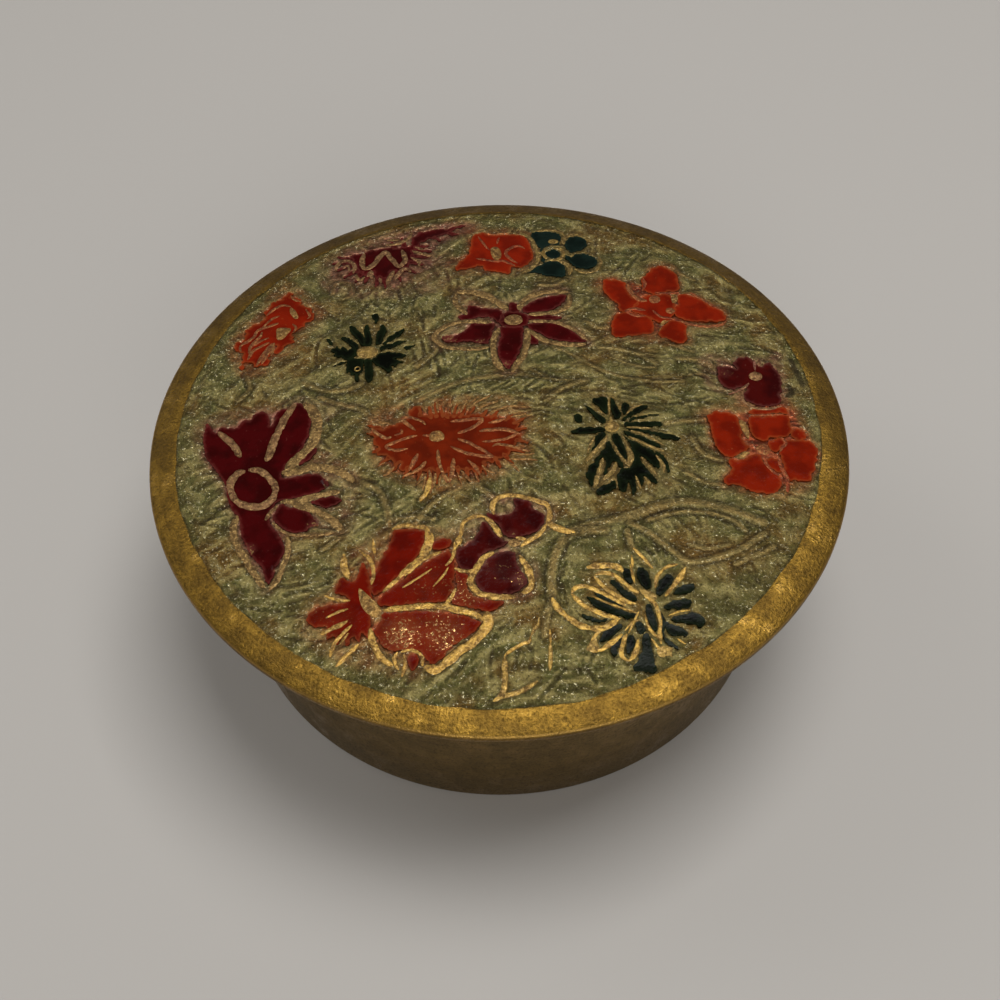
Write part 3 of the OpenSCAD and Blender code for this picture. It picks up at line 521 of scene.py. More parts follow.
            "22.2 -30, 23 -29.2, 24 -28.7, 25.1 -28.6, 25 -29.5, 23.8 -30, 22.8 -30.2",
            "20.9 -32.2, 21.8 -31.4, 23 -31, 24.4 -31, 24.5 -31.8, 23.6 -32.4, 22 -32.4",
            "21.6 -34, 22.8 -33.4, 24.2 -33, 25.4 -33.2, 26 -34, 25.8 -34.8, 25.2 -35.1, 24.2 -34.6,"
            "22.8 -34.4",
            "20.9 -34.4, 22 -34.8, 23.2 -35.4, 23.8 -36.2, 22.6 -36.4, 21.4 -36.2, 20.8 -35.4",
            "20.5 -36.6, 21.2 -37, 22 -37.8, 22.3 -38.5, 21.5 -38, 20.8 -37.4",
            "17.9 -36, 18.6 -36.2, 18.8 -38, 19 -40, 19.2 -41.4, 18 -41.6, 16.6 -41.4, 16.2 -41,"
            "17 -39.8, 17.6 -38.4, 17.8 -37",
            "16 -36.4, 16.6 -36.2, 16.8 -37.4, 16.2 -38.6, 15.8 -38.9, 15.6 -38.2, 15.7 -37.2",
            "13.6 -38.2, 14.2 -37, 15.1 -36.4, 15 -37.4, 14.5 -38.4, 14.2 -39.2, 13.7 -39",
            "12.2 -37.2, 12.6 -36.2, 13.6 -35.3, 15 -34.6, 15.2 -35, 14.4 -36, 13.3 -36.9",
            "10.2 -33, 11.2 -33.4, 12.2 -33.8, 13.4 -33.9, 12.6 -34.3, 11.2 -34, 10.4 -33.5",
            "18.8 -31.6, 19.3 -32, 19.6 -33.4, 19.7 -35, 19.4 -35.8, 18.9 -35, 18.6 -33.6,"
            "18.5 -32.4",
            "20.4 -33, 20.8 -34, 20.6 -36, 20.4 -36.6, 20.3 -35",
            "17 -34.5, 17.8 -34.4, 18.2 -35.8, 17.6 -36.2, 17.2 -35.4"],
        "pads": [
            "18 -29.3, 18.8 -29.5, 19.8 -30, 20.1 -30.9, 19.2 -31, 18.6 -30.4, 18.1 -30",
            "10.5 -38.3, 11 -37.2, 11.8 -36.6, 12 -37.4, 12.2 -38.2, 11.4 -38.6",
            "19.4 -38.4, 20.4 -37.8, 21.6 -38.4, 21.4 -39.4, 20 -39.6, 19.5 -39"],
        "lines": [
            ".8 | 6.5 -30.5, 7.2 -32.2, 8.6 -33.7, 10.3 -34.9, 12.2 -35.2, 14 -34.6, 15.1 -33.8",
            ".6 | 9 -29.9, 10.1 -31.3, 11.6 -32.4, 13.2 -33.2, 14.9 -33.8",
            ".6 | 9 -30, 9.6 -29.1, 10.6 -28.8, 11.8 -29.2, 13.2 -30, 14.7 -31, 16 -31.8",
            ".3 | 11.8 -30.4, 13.8 -31.5, 16 -32.4, 17.4 -33",
            ".6 | 12.1 -27.3, 13.2 -28.9, 14.7 -30.2, 16.1 -31.2, 17.3 -31.6",
            ".6 | 12.2 -27.1, 13.2 -26.8, 14.4 -27, 15.6 -28, 16.6 -29, 17.8 -30",
            ".9 | 11.2 -25.9, 13 -25.6, 15 -25.8, 16 -26.6", ".35 | 17 -25.5, 17.2 -27, 17.4 -28.6",
            ".5 | 17.6 -22.8, 18.8 -24.4, 20 -26.2", ".4 | 17.3 -24, 17.3 -26",
            ".5 | 20 -29.2, 20.5 -27.4, 21.7 -26, 23.3 -25.5",
            ".6 | 21.2 -30.5, 22.5 -28.8, 23.6 -27.3, 24.3 -26",
            ".3 | 21.4 -33.4, 22.8 -32.8, 24.2 -32.6",
            ".6 | 15.8 -36.1, 15.2 -37.5, 15 -39.2, 15.8 -40",
            ".6 | 15.8 -40, 16.7 -38.8, 17.2 -36.9", ".5 | 13.9 -34.8, 12.4 -35.5, 11.2 -37",
            ".6 | 11 -38.5, 12.4 -38.3, 13.8 -37.3, 15.2 -36.1",
            ".5 | 18.5 -30.4, 19.6 -31.4, 20.1 -33, 20.2 -34.8, 20 -36.2, 20.1 -37.6",
            ".4 | 18.3 -33.2, 18.6 -34.8, 19.2 -36, 19.9 -36.8", ".3 | 16 -36, 17 -34, 17.6 -32.8",
            ".3 | 15.6 -35.6, 16.6 -34.4, 17.6 -34", ".4 | 18.9 -36.8, 19.6 -38, 20.4 -39",
            ".3 | 22.2 -36.8, 23.2 -37.6"]},
}

# Broad raised leaves, stems and buds of the ground, and the strokes engraved beside them
GROUND_LINES = [
    "1.5 | 9.5 -20, 14 -18.5, 18 -17.5, 22 -15.8, 26 -15.3, 31 -16.5, 35.5 -18.6",
    "1 | 17.5 -18.8, 20 -20.5, 23 -23.5, 24.8 -25, 28 -24.6, 32 -23, 35.5 -20.5",
    ".8 | 20 -18.3, 23 -17.2, 27 -16.9, 31 -18, 33 -20", ".7 | 25.3 -22.4, 27.5 -23, 30.5 -22.4",
    "1.4 | 14 -19.8, 9.5 -20.5, 7.5 -23, 6.7 -26, 6.5 -28, 6.6 -30.4",
    ".9 | 17 -20, 17.6 -23, 19.2 -25.4", "1 | 6.5 -31, 5.6 -33.4, 5.3 -36",
    ".9 | 15.4 14.3, 17.5 14.1, 19.5 13.6, 21.5 12.6, 23.6 10.9",
    ".6 | 18.8 11.2, 20.8 10.4, 23.4 10",
    ".7 | 8.6 14.4, 10.5 13.4, 12.5 11.8, 15 9.8, 18 8.3, 21 7.5, 24 7.1, 27.2 7.3",
    ".5 | 22 8.1, 24.5 8.2, 27 8", ".5 | 16 12.8, 17.6 12, 19 11.2",
    ".6 | 25 15.5, 27 14.5, 29.4 13.3", ".5 | 5 9.8, 7 8.6, 9 7.6", ".5 | 28 8.3, 29.2 8.7, 30.4 8.6",
    ".5 | 3.5 9, 7 8, 10.5 7.6, 13.5 7.2", ".9 | -15 -17.5, -12 -17.1, -9 -17.4",
    "1.1 | 27 12, 30 11.6, 32.4 9.8", "1 | 7 3.8, 9.5 6, 13 7.6", "1 | -12 4, -6 7.4, 0 8.8, 3.4 9",
    "1 | -20 -10.5, -17 -12, -15.6 -15, -15 -18.3", "1 | -1 -14, -3 -12, -3.6 -10.5",
    ".9 | -26 5.5, -22.8 4, -19.5 2.6, -18.2 0", "1 | -28.5 8.5, -25 6.8, -22 7, -20 8",
    ".9 | 24 -1, 26.6 -.6, 29.6 -.2", ".9 | 27.4 -3.6, 28.6 -6.5, 31 -7.8",
    ".9 | -12 11, -9.5 13.8, -9 16.5", ".9 | 13.6 20, 15.5 18.6, 17.4 18.8",
    ".8 | -25.4 28, -25.2 30, -23.6 30.6, -22.4 29.6, -22.6 27.4, -24 26.6",
    ".9 | 6.8 28.6, 9 28.4, 11 29.6", ".9 | 26 -10, 28.5 -11.8, 31.2 -12.4",
    ".9 | -5.5 -12, -9 -14.6, -11.5 -18.2", ".8 | 28 33, 29.5 30.8, 31.2 29.6",
    ".8 | -38 5.5, -36.5 8, -37.5 11", ".8 | 31 -25.5, 34 -24, 36.5 -22.6",
    ".8 | -24 -22, -22 -20.4, -20.5 -18.5"
]

# Raised brass strokes painted fully bright, a painted glint
STROKES_PAINTED_LIT = [
    ".8 | -9.6 -10.4, -9.8 -12, -10.2 -13.2, -11 -14.4",
    ".5 | .1 -39, .6 -38.5, 1.5 -37.9, 2.3 -37.3, 3.3 -37, 3.5 -36.3", ".4 | 6 -35.3, 6.05 -37.4"
]

# Raised brass strokes painted half bright, a painted highlight
STROKES_PAINTED_HALF_LIT = [
    ".7 | .2 -39, .1 -41.5, 0 -43.4, -.5 -44.6, -1.4 -45.3",
    ".7 | -1.2 -45, 0 -44.6, 1.5 -44.2, 2.8 -43.6, 4.2 -42.6", ".6 | 6 -37.2, 5.9 -39.4, 5.8 -41.2",
    ".4 | 3.5 -36.3, 4 -35.2, 4.5 -34.6, 4.7 -33.4"
]

# How far the ring's inner edge strays from a circle, in mm, at every 20 degrees from +X
STRAY = [-.2, .3, .5, .45, .45, .5, .5, .35, -.2, -.2, -.05, -.2, -.1, .25, .25, -.35, -.6, -.5]

# Places where lacquer has pooled black
BLOTS = ["1 | 43.8 11.6, 44.2 9.6, 44.9 6.8", ".8 | 42.8 6.4, 43 5.2, 42.4 4.6"]


def places(text):
    """The places in a text, as tuples of numbers."""
    return [tuple(float(n) for n in place.split()) for place in text.split(",")]


def wide_line(text):
    """The number that comes first in a text, and the places after its bar."""
    width, path = text.split("|")
    return float(width), places(path)


def smooth(knots, closed, step=0.3):
    """Smooth curve through places, as evenly spaced points."""
    p = np.array(knots, float)
    n = len(p)
    if closed:
        ends = np.vstack([p[-1], p, p[:2]])
    else:
        ends = np.vstack([2 * p[0] - p[1], p, 2 * p[-1] - p[-2]])
    t = np.linspace(0, 1, 12, endpoint=False)[:, None]
    fine = []
    for i in range(n if closed else n - 1):
        a, b, c, d = ends[i:i + 4]
        fine.append(0.5 * (2 * b + (c - a) * t + (2 * a - 5 * b + 4 * c - d) * t ** 2
                           + (3 * b - a - 3 * c + d) * t ** 3))
    fine = np.vstack(fine + [p[:1] if closed else p[-1:]])
    run = np.concatenate([[0], np.cumsum(np.hypot(*np.diff(fine, axis=0).T))])
    count = max(3, int(run[-1] / step))
    at = np.linspace(0, run[-1], count + 1)
    out = np.stack([np.interp(at, run, fine[:, 0]), np.interp(at, run, fine[:, 1])], 1)
    return out[:-1] if closed else out


# ---------------------------------------------------------------- measuring in plan

def inside(x, y, outline):
    """Which points lie inside a closed outline."""
    hit = np.zeros(np.shape(x), bool)
    x0, y0 = outline[-1]
    for x1, y1 in outline:
        if y0 != y1:
            hit ^= ((y1 > y) != (y0 > y)) & (x < (x0 - x1) * (y - y1) / (y0 - y1) + x1)
        x0, y0 = x1, y1
    return hit


def distance(x, y, path, closed):
    """Distance of points from a path."""
    far = np.full(np.shape(x), np.inf)
    legs = zip(path, np.roll(path, -1, 0)) if closed else zip(path[:-1], path[1:])
    for (ax, ay), (bx, by) in legs:
        dx, dy = bx - ax, by - ay
        t = np.clip(((x - ax) * dx + (y - ay) * dy) / max(dx * dx + dy * dy, 1e-12), 0, 1)
        far = np.minimum(far, (x - ax - t * dx) ** 2 + (y - ay - t * dy) ** 2)
    return np.sqrt(far)


def hills(x, y, size, seed):
    """Smooth random hills about size across, from -1 to 1."""
    side = 97
    knots = np.random.default_rng(seed).uniform(-1, 1, (side, side))
    corner, part = [], []
    for value in (x / size, y / size):
        low = np.floor(value).astype(int)
        corner.append(low)
        part.append((value - low) ** 2 * (3 - 2 * (value - low)))
    (i, j), (f, g) = corner, part
    here, over = knots[i % side, j % side], knots[(i + 1) % side, j % side]
    up, both = knots[i % side, (j + 1) % side], knots[(i + 1) % side, (j + 1) % side]
    return (here * (1 - f) + over * f) * (1 - g) + (up * (1 - f) + both * f) * g


def soften(field, step, size):
    """Blur a field by a bell curve of the given size."""
    reach = int(3 * size / step) + 1
    bell = np.exp(-0.5 * (np.arange(-reach, reach + 1) * step / size) ** 2)
    bell /= bell.sum()
    for axis in (0, 1):
        field = np.apply_along_axis(lambda row: np.convolve(row, bell, "same"), axis, field)
    return field


def ring_edge(angle):
    """Radius of the ring's inner edge, filed by hand, at an angle in radians."""
    stray = np.interp(np.degrees(angle), np.arange(0, 360, 20), STRAY, period=360)
    return FIELD_R + stray + sum(0.05 * np.sin(k * angle + k) for k in (16, 29, 47))


def circle(x, y, rx, ry, count, uneven=1):
    """Outline of a circle or an ellipse of count points, whose radius is uneven where asked."""
    angle = np.linspace(0, 2 * math.pi, count, endpoint=False)
    return np.stack([x + rx * uneven * np.cos(angle), y + ry * uneven * np.sin(angle)], 1)


# ---------------------------------------------------------------- outlines of the enamel

def ragged(outline, fringe=0.04, grow=0.0):
    """The same outline as a brush and a small file leave it, grown a little where asked."""
    turn = np.roll(outline, -1, 0) - np.roll(outline, 1, 0)
    side = np.stack([turn[:, 1], -turn[:, 0]], 1) / np.maximum(np.hypot(*turn.T), 1e-6)[:, None]
    x, y = outline.T
    shake = 0.07 * np.sin(4.3 * x + 2.1 * y) + 0.06 * np.sin(7.7 * y - 5.1 * x) + 0.04 * np.sin(13 * x)
    shake += fringe * (hills(x, y, 0.9, 51) + 0.6 * hills(x, y, 0.45, 52))
    x1, y1 = np.roll(outline, -1, 0).T
    outward = np.sign(np.sum(x * y1 - x1 * y))
    return outline + side * (shake + grow * outward)[:, None]


def spike_outline(root, tip, width):
    """A brush stroke flicked outward to a point."""
    root, tip = np.array(root), np.array(tip)
    side = np.array([root[1] - tip[1], tip[0] - root[0]]) / np.hypot(*(tip - root)) * width / 2
    middle = root + (tip - root) * 0.6
    return [root + side, root - side, middle - side * 0.7, tip, middle + side * 0.7]


def flower_cells(flower):
    """Outlines of a flower's enamel."""
    frayed = {key: flower[key] for key in ("fringe", "grow") if key in flower}
    cells = [ragged(smooth(places(text), True), **frayed) for text in flower["cells"]]
    if "spikes" in flower:
        width, ends = wide_line(flower["spikes"])
        cells += [ragged(smooth(spike_outline(root, tip, width), True))
                  for root, tip in zip(ends[::2], ends[1::2])]
    return cells


CELLS = {name: flower_cells(flower) for name, flower in FLOWERS.items()}


# ---------------------------------------------------------------- making meshes

class Shape:
    """Points and faces gathered in millimetres, with named values at each point."""

    def __init__(self, *marks):
        self.points, self.faces, self.slots = [], [], []
        self.marks = {mark: [] for mark in marks}
        self.count = 0

    def add(self, points, faces, slot=0, **marks):
        points = np.asarray(points, float)
        self.points.append(points)
        self.faces += [tuple(int(i) + self.count for i in face) for face in faces]
        self.slots += [slot] * len(faces)
        for mark, values in self.marks.items():
            values.append(np.broadcast_to(marks.get(mark, 0.0), len(points)))
        self.count += len(points)

    def make(self, name, materials, sharp_angle):
        """The finished piece. Edges that turn by more than sharp_angle degrees stay sharp."""
        mesh = bpy.data.meshes.new(name)
        mesh.from_pydata(np.vstack(self.points) * METRE, [], self.faces)
        for material in materials:
            mesh.materials.append(material)
        mesh.polygons.foreach_set("material_index", self.slots)
        mesh.polygons.foreach_set("use_smooth", [True] * len(self.faces))
        for mark, values in self.marks.items():
            layer = mesh.attributes.new(mark, "FLOAT", "POINT")
            layer.data.foreach_set("value", np.concatenate(values).astype(np.float32))
        mesh.set_sharp_from_angle(angle=math.radians(sharp_angle))
        mesh.update()
        piece = bpy.data.objects.new(name, mesh)
        bpy.context.scene.collection.objects.link(piece)
        return piece


def open_edges(faces):
    """Edges that only one of the faces has, each running that face's way round."""
    edges = np.stack([faces, np.roll(faces, -1, 1)], 2).reshape(-1, 2).tolist()
    known = {(a, b) for a, b in edges}
    return [(a, b) for a, b in edges if (b, a) not in known]


def renumbered(faces, count):
    """Which of count points the faces use, and the same faces with only those points numbered."""
    used = np.unique(faces)
    number = np.full(count, -1)
    number[used] = np.arange(len(used))
    return used, number[faces]


def turned(shape, profile, segments, stray=None, **marks):
    """Body of revolution from a profile of (radius, height). A radius of 0 is one point. A mark is
    given as a function of the radius, and stray adds to a radius round the circle."""
    angle = np.arange(segments) * 2 * math.pi / segments
    points, rows = [], []
    for r, z in profile:
        if r == 0:
            rows.append([len(points)] * segments)
            points.append((0, 0, z))
            continue
        radius = r + (stray(r, angle) if stray else 0 * angle)
        rows.append(list(range(len(points), len(points) + segments)))
        points += list(zip(radius * np.cos(angle), radius * np.sin(angle), [z] * segments))
    faces = []
    for a, b in zip(rows, rows[1:] + rows[:1]):
        for i in range(segments):
            j = (i + 1) % segments
            face = [a[i], a[j], b[j], b[i]]
            face = [v for k, v in enumerate(face) if v != face[k - 1]]
            if len(face) > 2:
                faces.append(face)
    far = np.hypot(*np.array(points)[:, :2].T)
    shape.add(points, faces, **{mark: value(far) for mark, value in marks.items()})


# The lid's second material is that of its raised lines
LINE_SLOT = 1
# Half of a raised line's section: how far across it, in widths, and how high, in heights. The
# foot lies LINE_SINK below the dome.
LINE_SECTION = [(0.56, None), (0.53, -0.6), (0.46, 0.4), (0.25, 0.9)]
LINE_SINK = 0.3


def swept_line(shape, path, width, height, closed=False, **marks):
    """Line of bare metal along a path on the dome, filed flat on top and a little uneven in width."""
    n = len(path)
    ahead = np.roll(path, -1, 0) - np.roll(path, 1, 0) if closed else np.gradient(path, axis=0)
    ahead /= np.maximum(np.hypot(*ahead.T), 1e-9)[:, None]
    side = np.stack([-ahead[:, 1], ahead[:, 0]], 1)
    x, y = path.T
    uneven = [1 + 0.28 * hills(x, y, 1.1, seed) + 0.16 * hills(x, y, 0.5, seed + 1)
              for seed in (41, 43)]
    taper = np.ones(n)
    if not closed:
        # Each end narrows over its last four points, or over two fifths of a short line
        run = np.arange(n) / (n - 1)
        taper = 0.3 + 0.7 * np.clip(np.minimum(run, 1 - run) / min(0.4, 4 / n), 0, 1) ** 0.6
    section = [(-across, up) for across, up in LINE_SECTION] + [(0.0, 1.0)] + LINE_SECTION[::-1]
    rows = []
    for across, up in section:
        xy = path + side * (across * width * uneven[across > 0] * taper)[:, None]
        top = dome(xy[:, 0], xy[:, 1])
        rows.append(np.column_stack([xy, top - LINE_SINK if up is None else top + up * height]))
    k = len(section)
    faces = []
    for i in range(n if closed else n - 1):
        j = (i + 1) % n
        for a in range(k):
            b = (a + 1) % k
            faces.append((i * k + a, i * k + b, j * k + b, j * k + a))
    if not closed:
        faces.append(tuple(range(k - 1, -1, -1)))
        faces.append(tuple((n - 1) * k + a for a in range(k)))
    shape.add(np.stack(rows, 1).reshape(-1, 3), faces, LINE_SLOT, **marks)


def filled(shape, outline, top, depth, spacing, slot=0, **marks):
    """Closed solid over a plan outline. top and any mark that is a function give values from x, y
    and the distance to the edge."""
    low, high = outline.min(0), outline.max(0)
    # Inner points stand in staggered rows, a little jittered, and none too near the outline
    rng = np.random.default_rng(int(abs(low[0] * 1000 + low[1] * 77)) + 5)
    gx, gy = np.meshgrid(np.arange(low[0], high[0], spacing), np.arange(low[1], high[1], spacing * 0.87))
    gx = gx + (np.arange(gx.shape[0]) % 2)[:, None] * spacing / 2
    gx = (gx + rng.uniform(-0.12, 0.12, gx.shape) * spacing).ravel()
    gy = (gy + rng.uniform(-0.12, 0.12, gy.shape) * spacing).ravel()
    keep = inside(gx, gy, outline)
    gx, gy = gx[keep], gy[keep]
    keep = distance(gx, gy, outline, True) > spacing * 0.42
    flat = [Vector(p) for p in outline] + [Vector(p) for p in zip(gx[keep], gy[keep])]
    n = len(outline)
    verts, _, tris, *_ = delaunay_2d_cdt(flat, [(i, (i + 1) % n) for i in range(n)], [], 1, 1e-5)
    xy, tris = np.array([tuple(v) for v in verts]), np.array([tuple(t) for t in tris])
    tris = tris[inside(*xy[tris].mean(1).T, outline)]
    used, tris = renumbered(tris, len(xy))
    xy = xy[used]
    a, b, c = xy[tris].transpose(1, 0, 2)
    clockwise = (b - a)[:, 0] * (c - a)[:, 1] - (b - a)[:, 1] * (c - a)[:, 0] < 0
    tris[clockwise] = tris[clockwise][:, ::-1]
    x, y = xy.T
    near = distance(x, y, outline, True)
    points = np.vstack([np.column_stack([xy, top(x, y, near)]),
                        np.column_stack([xy, dome(x, y) - depth])])
    count = len(xy)
    faces = [tuple(t) for t in tris] + [tuple(t[::-1] + count) for t in tris]
    faces += [(b, a, a + count, b + count) for a, b in open_edges(tris)]
    values = {mark: np.concatenate([value(x, y, near)] * 2) if callable(value) else value
              for mark, value in marks.items()}
    shape.add(points, faces, slot, **values)


# ---------------------------------------------------------------- materials

def linear(colour):
    """An sRGB hex colour as linear red, green, blue and alpha."""
    parts = [int(colour[i:i + 2], 16) / 255 for i in (1, 3, 5)]
    return tuple(p / 12.92 if p <= 0.04045 else ((p + 0.055) / 1.055) ** 2.4 for p in parts) + (1.0,)


def finish(name):
    """New material, its node tree and its main shader."""
    material = bpy.data.materials.new(name)
    material.use_nodes = True
    tree = material.node_tree
    return material, tree, tree.nodes["Principled BSDF"]


def connect(tree, target, inputs):
    """Give a node its inputs: each a number, a hex colour, or another node's output to link."""
    for key, value in inputs.items():
        if isinstance(value, bpy.types.NodeSocket):
            tree.links.new(value, target.inputs[key])
        else:
            target.inputs[key].default_value = linear(value) if isinstance(value, str) else value


def node(tree, kind, inputs, output=0, stops=(), **settings):
    """Add a node and return one output. Stops are the two of a colour ramp, as (position, grey)."""
    new = tree.nodes.new("ShaderNode" + kind)
    for key, value in settings.items():
        setattr(new, key, value)
    connect(tree, new, inputs)
    if stops:
        for element, (position, grey) in zip(new.color_ramp.elements, stops):
            element.position = position
            element.color = (grey, grey, grey, 1)
    return new.outputs[output]


def coat(tree, under, over, cover, *stops):
    """Lay one colour over another. Stops turn a pattern into how much it covers."""
    if stops:
        cover = node(tree, "ValToRGB", {"Fac": cover}, stops=stops)
    return node(tree, "Mix", {0: cover, 6: under, 7: over}, 2, data_type="RGBA")


def in_mm(tree):
    """The object's own coordinates, in millimetres."""
    place = node(tree, "TexCoord", {}, "Object")
    return node(tree, "VectorMath", {0: place, "Scale": 1 / METRE}, operation="SCALE")


def circling(tree, place, across, along):
    """Coordinates in which noise runs in circles round the axis: across and along in millimetres."""
    flat = node(tree, "VectorMath", {0: place, 1: (1, 1, 0)}, operation="MULTIPLY")
    radius = node(tree, "VectorMath", {0: flat}, "Value", operation="LENGTH")
    height = node(tree, "SeparateXYZ", {"Vector": place}, "Z")
    run = node(tree, "Math", {0: radius, 1: height}, operation="ADD")
    rings = node(tree, "CombineXYZ", {"Z": node(tree, "Math", {0: run, 1: across}, operation="DIVIDE")})
    drawn_out = node(tree, "VectorMath", {0: flat, "Scale": 1 / along}, operation="SCALE")
    return node(tree, "VectorMath", {0: drawn_out, 1: rings}, operation="ADD")


def turned_brass(name, bright, dull, brown, roughness, mark_strength, grain_depth):
    """Brass turned on a lathe and long handled: circling tool marks, grainy tarnish, brown film,
    and a burnish where fingers lift the edge: smoother, and painted brighter along the bevel as a painted
    highlight."""
    material, tree, shader = finish(name)
    place = in_mm(tree)
    # Burnish on the lid's edge: it lowers the roughness, and its brighter colour on the bevel is a
    # painted highlight
    burnished = node(tree, "Attribute", {}, "Fac", attribute_name="burnished")
    # Brighter brass for polished patches, and for the painted highlight on the bevel
    polish_and_highlight = "#C29A52"
    # Tool marks 0.25 mm apart and 16 mm long
    lathe = circling(tree, place, 0.25, 16.0)
    marks = node(tree, "TexNoise", {"Vector": lathe, "Scale": 1.0, "Detail": 4.0, "Roughness": 0.65})
    # Patches of film 4 mm across
    film = node(tree, "TexNoise", {"Vector": place, "Scale": 1 / 4.0, "Detail": 5.0, "Roughness": 0.7})
    # Grains of tarnish 0.4 mm across, drawn a little coarser than the finest real ones
    grain = node(tree, "TexNoise", {"Vector": place, "Scale": 1 / 0.4, "Detail": 3.0, "Roughness": 0.7})
    colour = coat(tree, dull, bright, film, (0.42, 0.0), (0.6, 1.0))
    colour = coat(tree, colour, polish_and_highlight, film, (0.58, 0.0), (0.68, 0.3))
    colour = coat(tree, colour, brown, marks, (0.35, mark_strength), (0.6, 0.0))
    colour = coat(tree, colour, brown, grain, (0.32, 0.7), (0.5, 0.0))
    colour = coat(tree, colour, bright, grain, (0.56, 0.0), (0.72, 0.5))
    # The painted highlight along the bevel of the lid's edge
    colour = coat(tree, colour, polish_and_highlight, burnished, (0.0, 0.0), (1.0, 0.75))
    rough = node(tree, "ValToRGB", {"Fac": grain}, stops=((0.35, roughness + 0.12), (0.7, roughness)))
    for pattern, stops in ((film, ((0.5, 0.0), (0.64, 0.17))), (burnished, ((0.0, 0.0), (1.0, 0.12)))):
        smoother = node(tree, "ValToRGB", {"Fac": pattern}, stops=stops)
        rough = node(tree, "Math", {0: rough, 1: smoother}, operation="SUBTRACT")
    relief = node(tree, "Bump", {"Height": marks, "Distance": 0.03 * mark_strength * METRE})
    relief = node(tree, "Bump", {"Height": film, "Distance": 0.9 * grain_depth * METRE, "Normal": relief})
    relief = node(tree, "Bump", {"Height": grain, "Distance": grain_depth * METRE, "Normal": relief})
    connect(tree, shader, {"Base Color": colour, "Metallic": 1.0, "Roughness": rough, "Normal": relief})
    return material


def red_stain(tree, spread):
    """Metal stained by the red glazes: rosy beside crimson, salmon beside orange."""
    rosy = coat(tree, "#4A1A12", "#865446", spread)
    salmon = coat(tree, "#601E0A", "#8C4020", spread)
    return coat(tree, rosy, salmon, node(tree, "Attribute", {}, "Fac", attribute_name="warm"))


def chased_brass():
    """Lines of bare brass filed flat between the enamels: dull gold with bright grains, black in
    the pits, stained where red enamel bled over them, and painted bright gold at the front of the
    lid as a painted highlight."""
    material, tree, shader = finish("filed_brass_lines")
    place = in_mm(tree)
    stain = node(tree, "Attribute", {}, "Fac", attribute_name="stain")
    # Mottling 1 mm across
    mottle = node(tree, "TexNoise", {"Vector": place, "Scale": 1 / 1.0, "Detail": 4.0, "Roughness": 0.7})
    # Grains of 0.4 mm, drawn a little coarser than the finest real ones so that they show
    grain = node(tree, "TexNoise", {"Vector": place, "Scale": 1 / 0.4, "Detail": 3.0, "Roughness": 0.75})
    spread = node(tree, "ValToRGB", {"Fac": mottle}, stops=((0.4, 0.0), (0.6, 1.0)))
    dull = coat(tree, "#4A3B1A", "#6F5C31", spread)
    bright = coat(tree, "#6E5122", "#C9A04A", spread)
    # How bright the gold is drawn: a tone on most lines, a painted highlight on those at the front of the
    # lid
    colour = coat(tree, dull, bright, node(tree, "Attribute", {}, "Fac", attribute_name="pale"))
    colour = coat(tree, colour, red_stain(tree, spread), stain)
    # The bright grains are fewer under the stain
    clean = node(tree, "ValToRGB", {"Fac": stain}, stops=((0.0, 1.0), (1.0, 0.3)))
    glints = node(tree, "ValToRGB", {"Fac": grain}, stops=((0.53, 0.0), (0.66, 0.7)))
    glints = node(tree, "Math", {0: glints, 1: clean}, operation="MULTIPLY")
    colour = coat(tree, colour, "#D0AC6C", glints)
    colour = coat(tree, colour, "#3A2410", grain, (0.3, 0.7), (0.4, 0.0))
    rough = node(tree, "ValToRGB", {"Fac": mottle}, stops=((0.3, 0.5), (0.7, 0.3)))
    relief = node(tree, "Bump", {"Height": mottle, "Distance": 0.18 * METRE})
    relief = node(tree, "Bump", {"Height": grain, "Distance": 0.14 * METRE, "Normal": relief})
    connect(tree, shader, {"Base Color": colour, "Metallic": 0.75, "Roughness": rough, "Normal": relief})
    return material


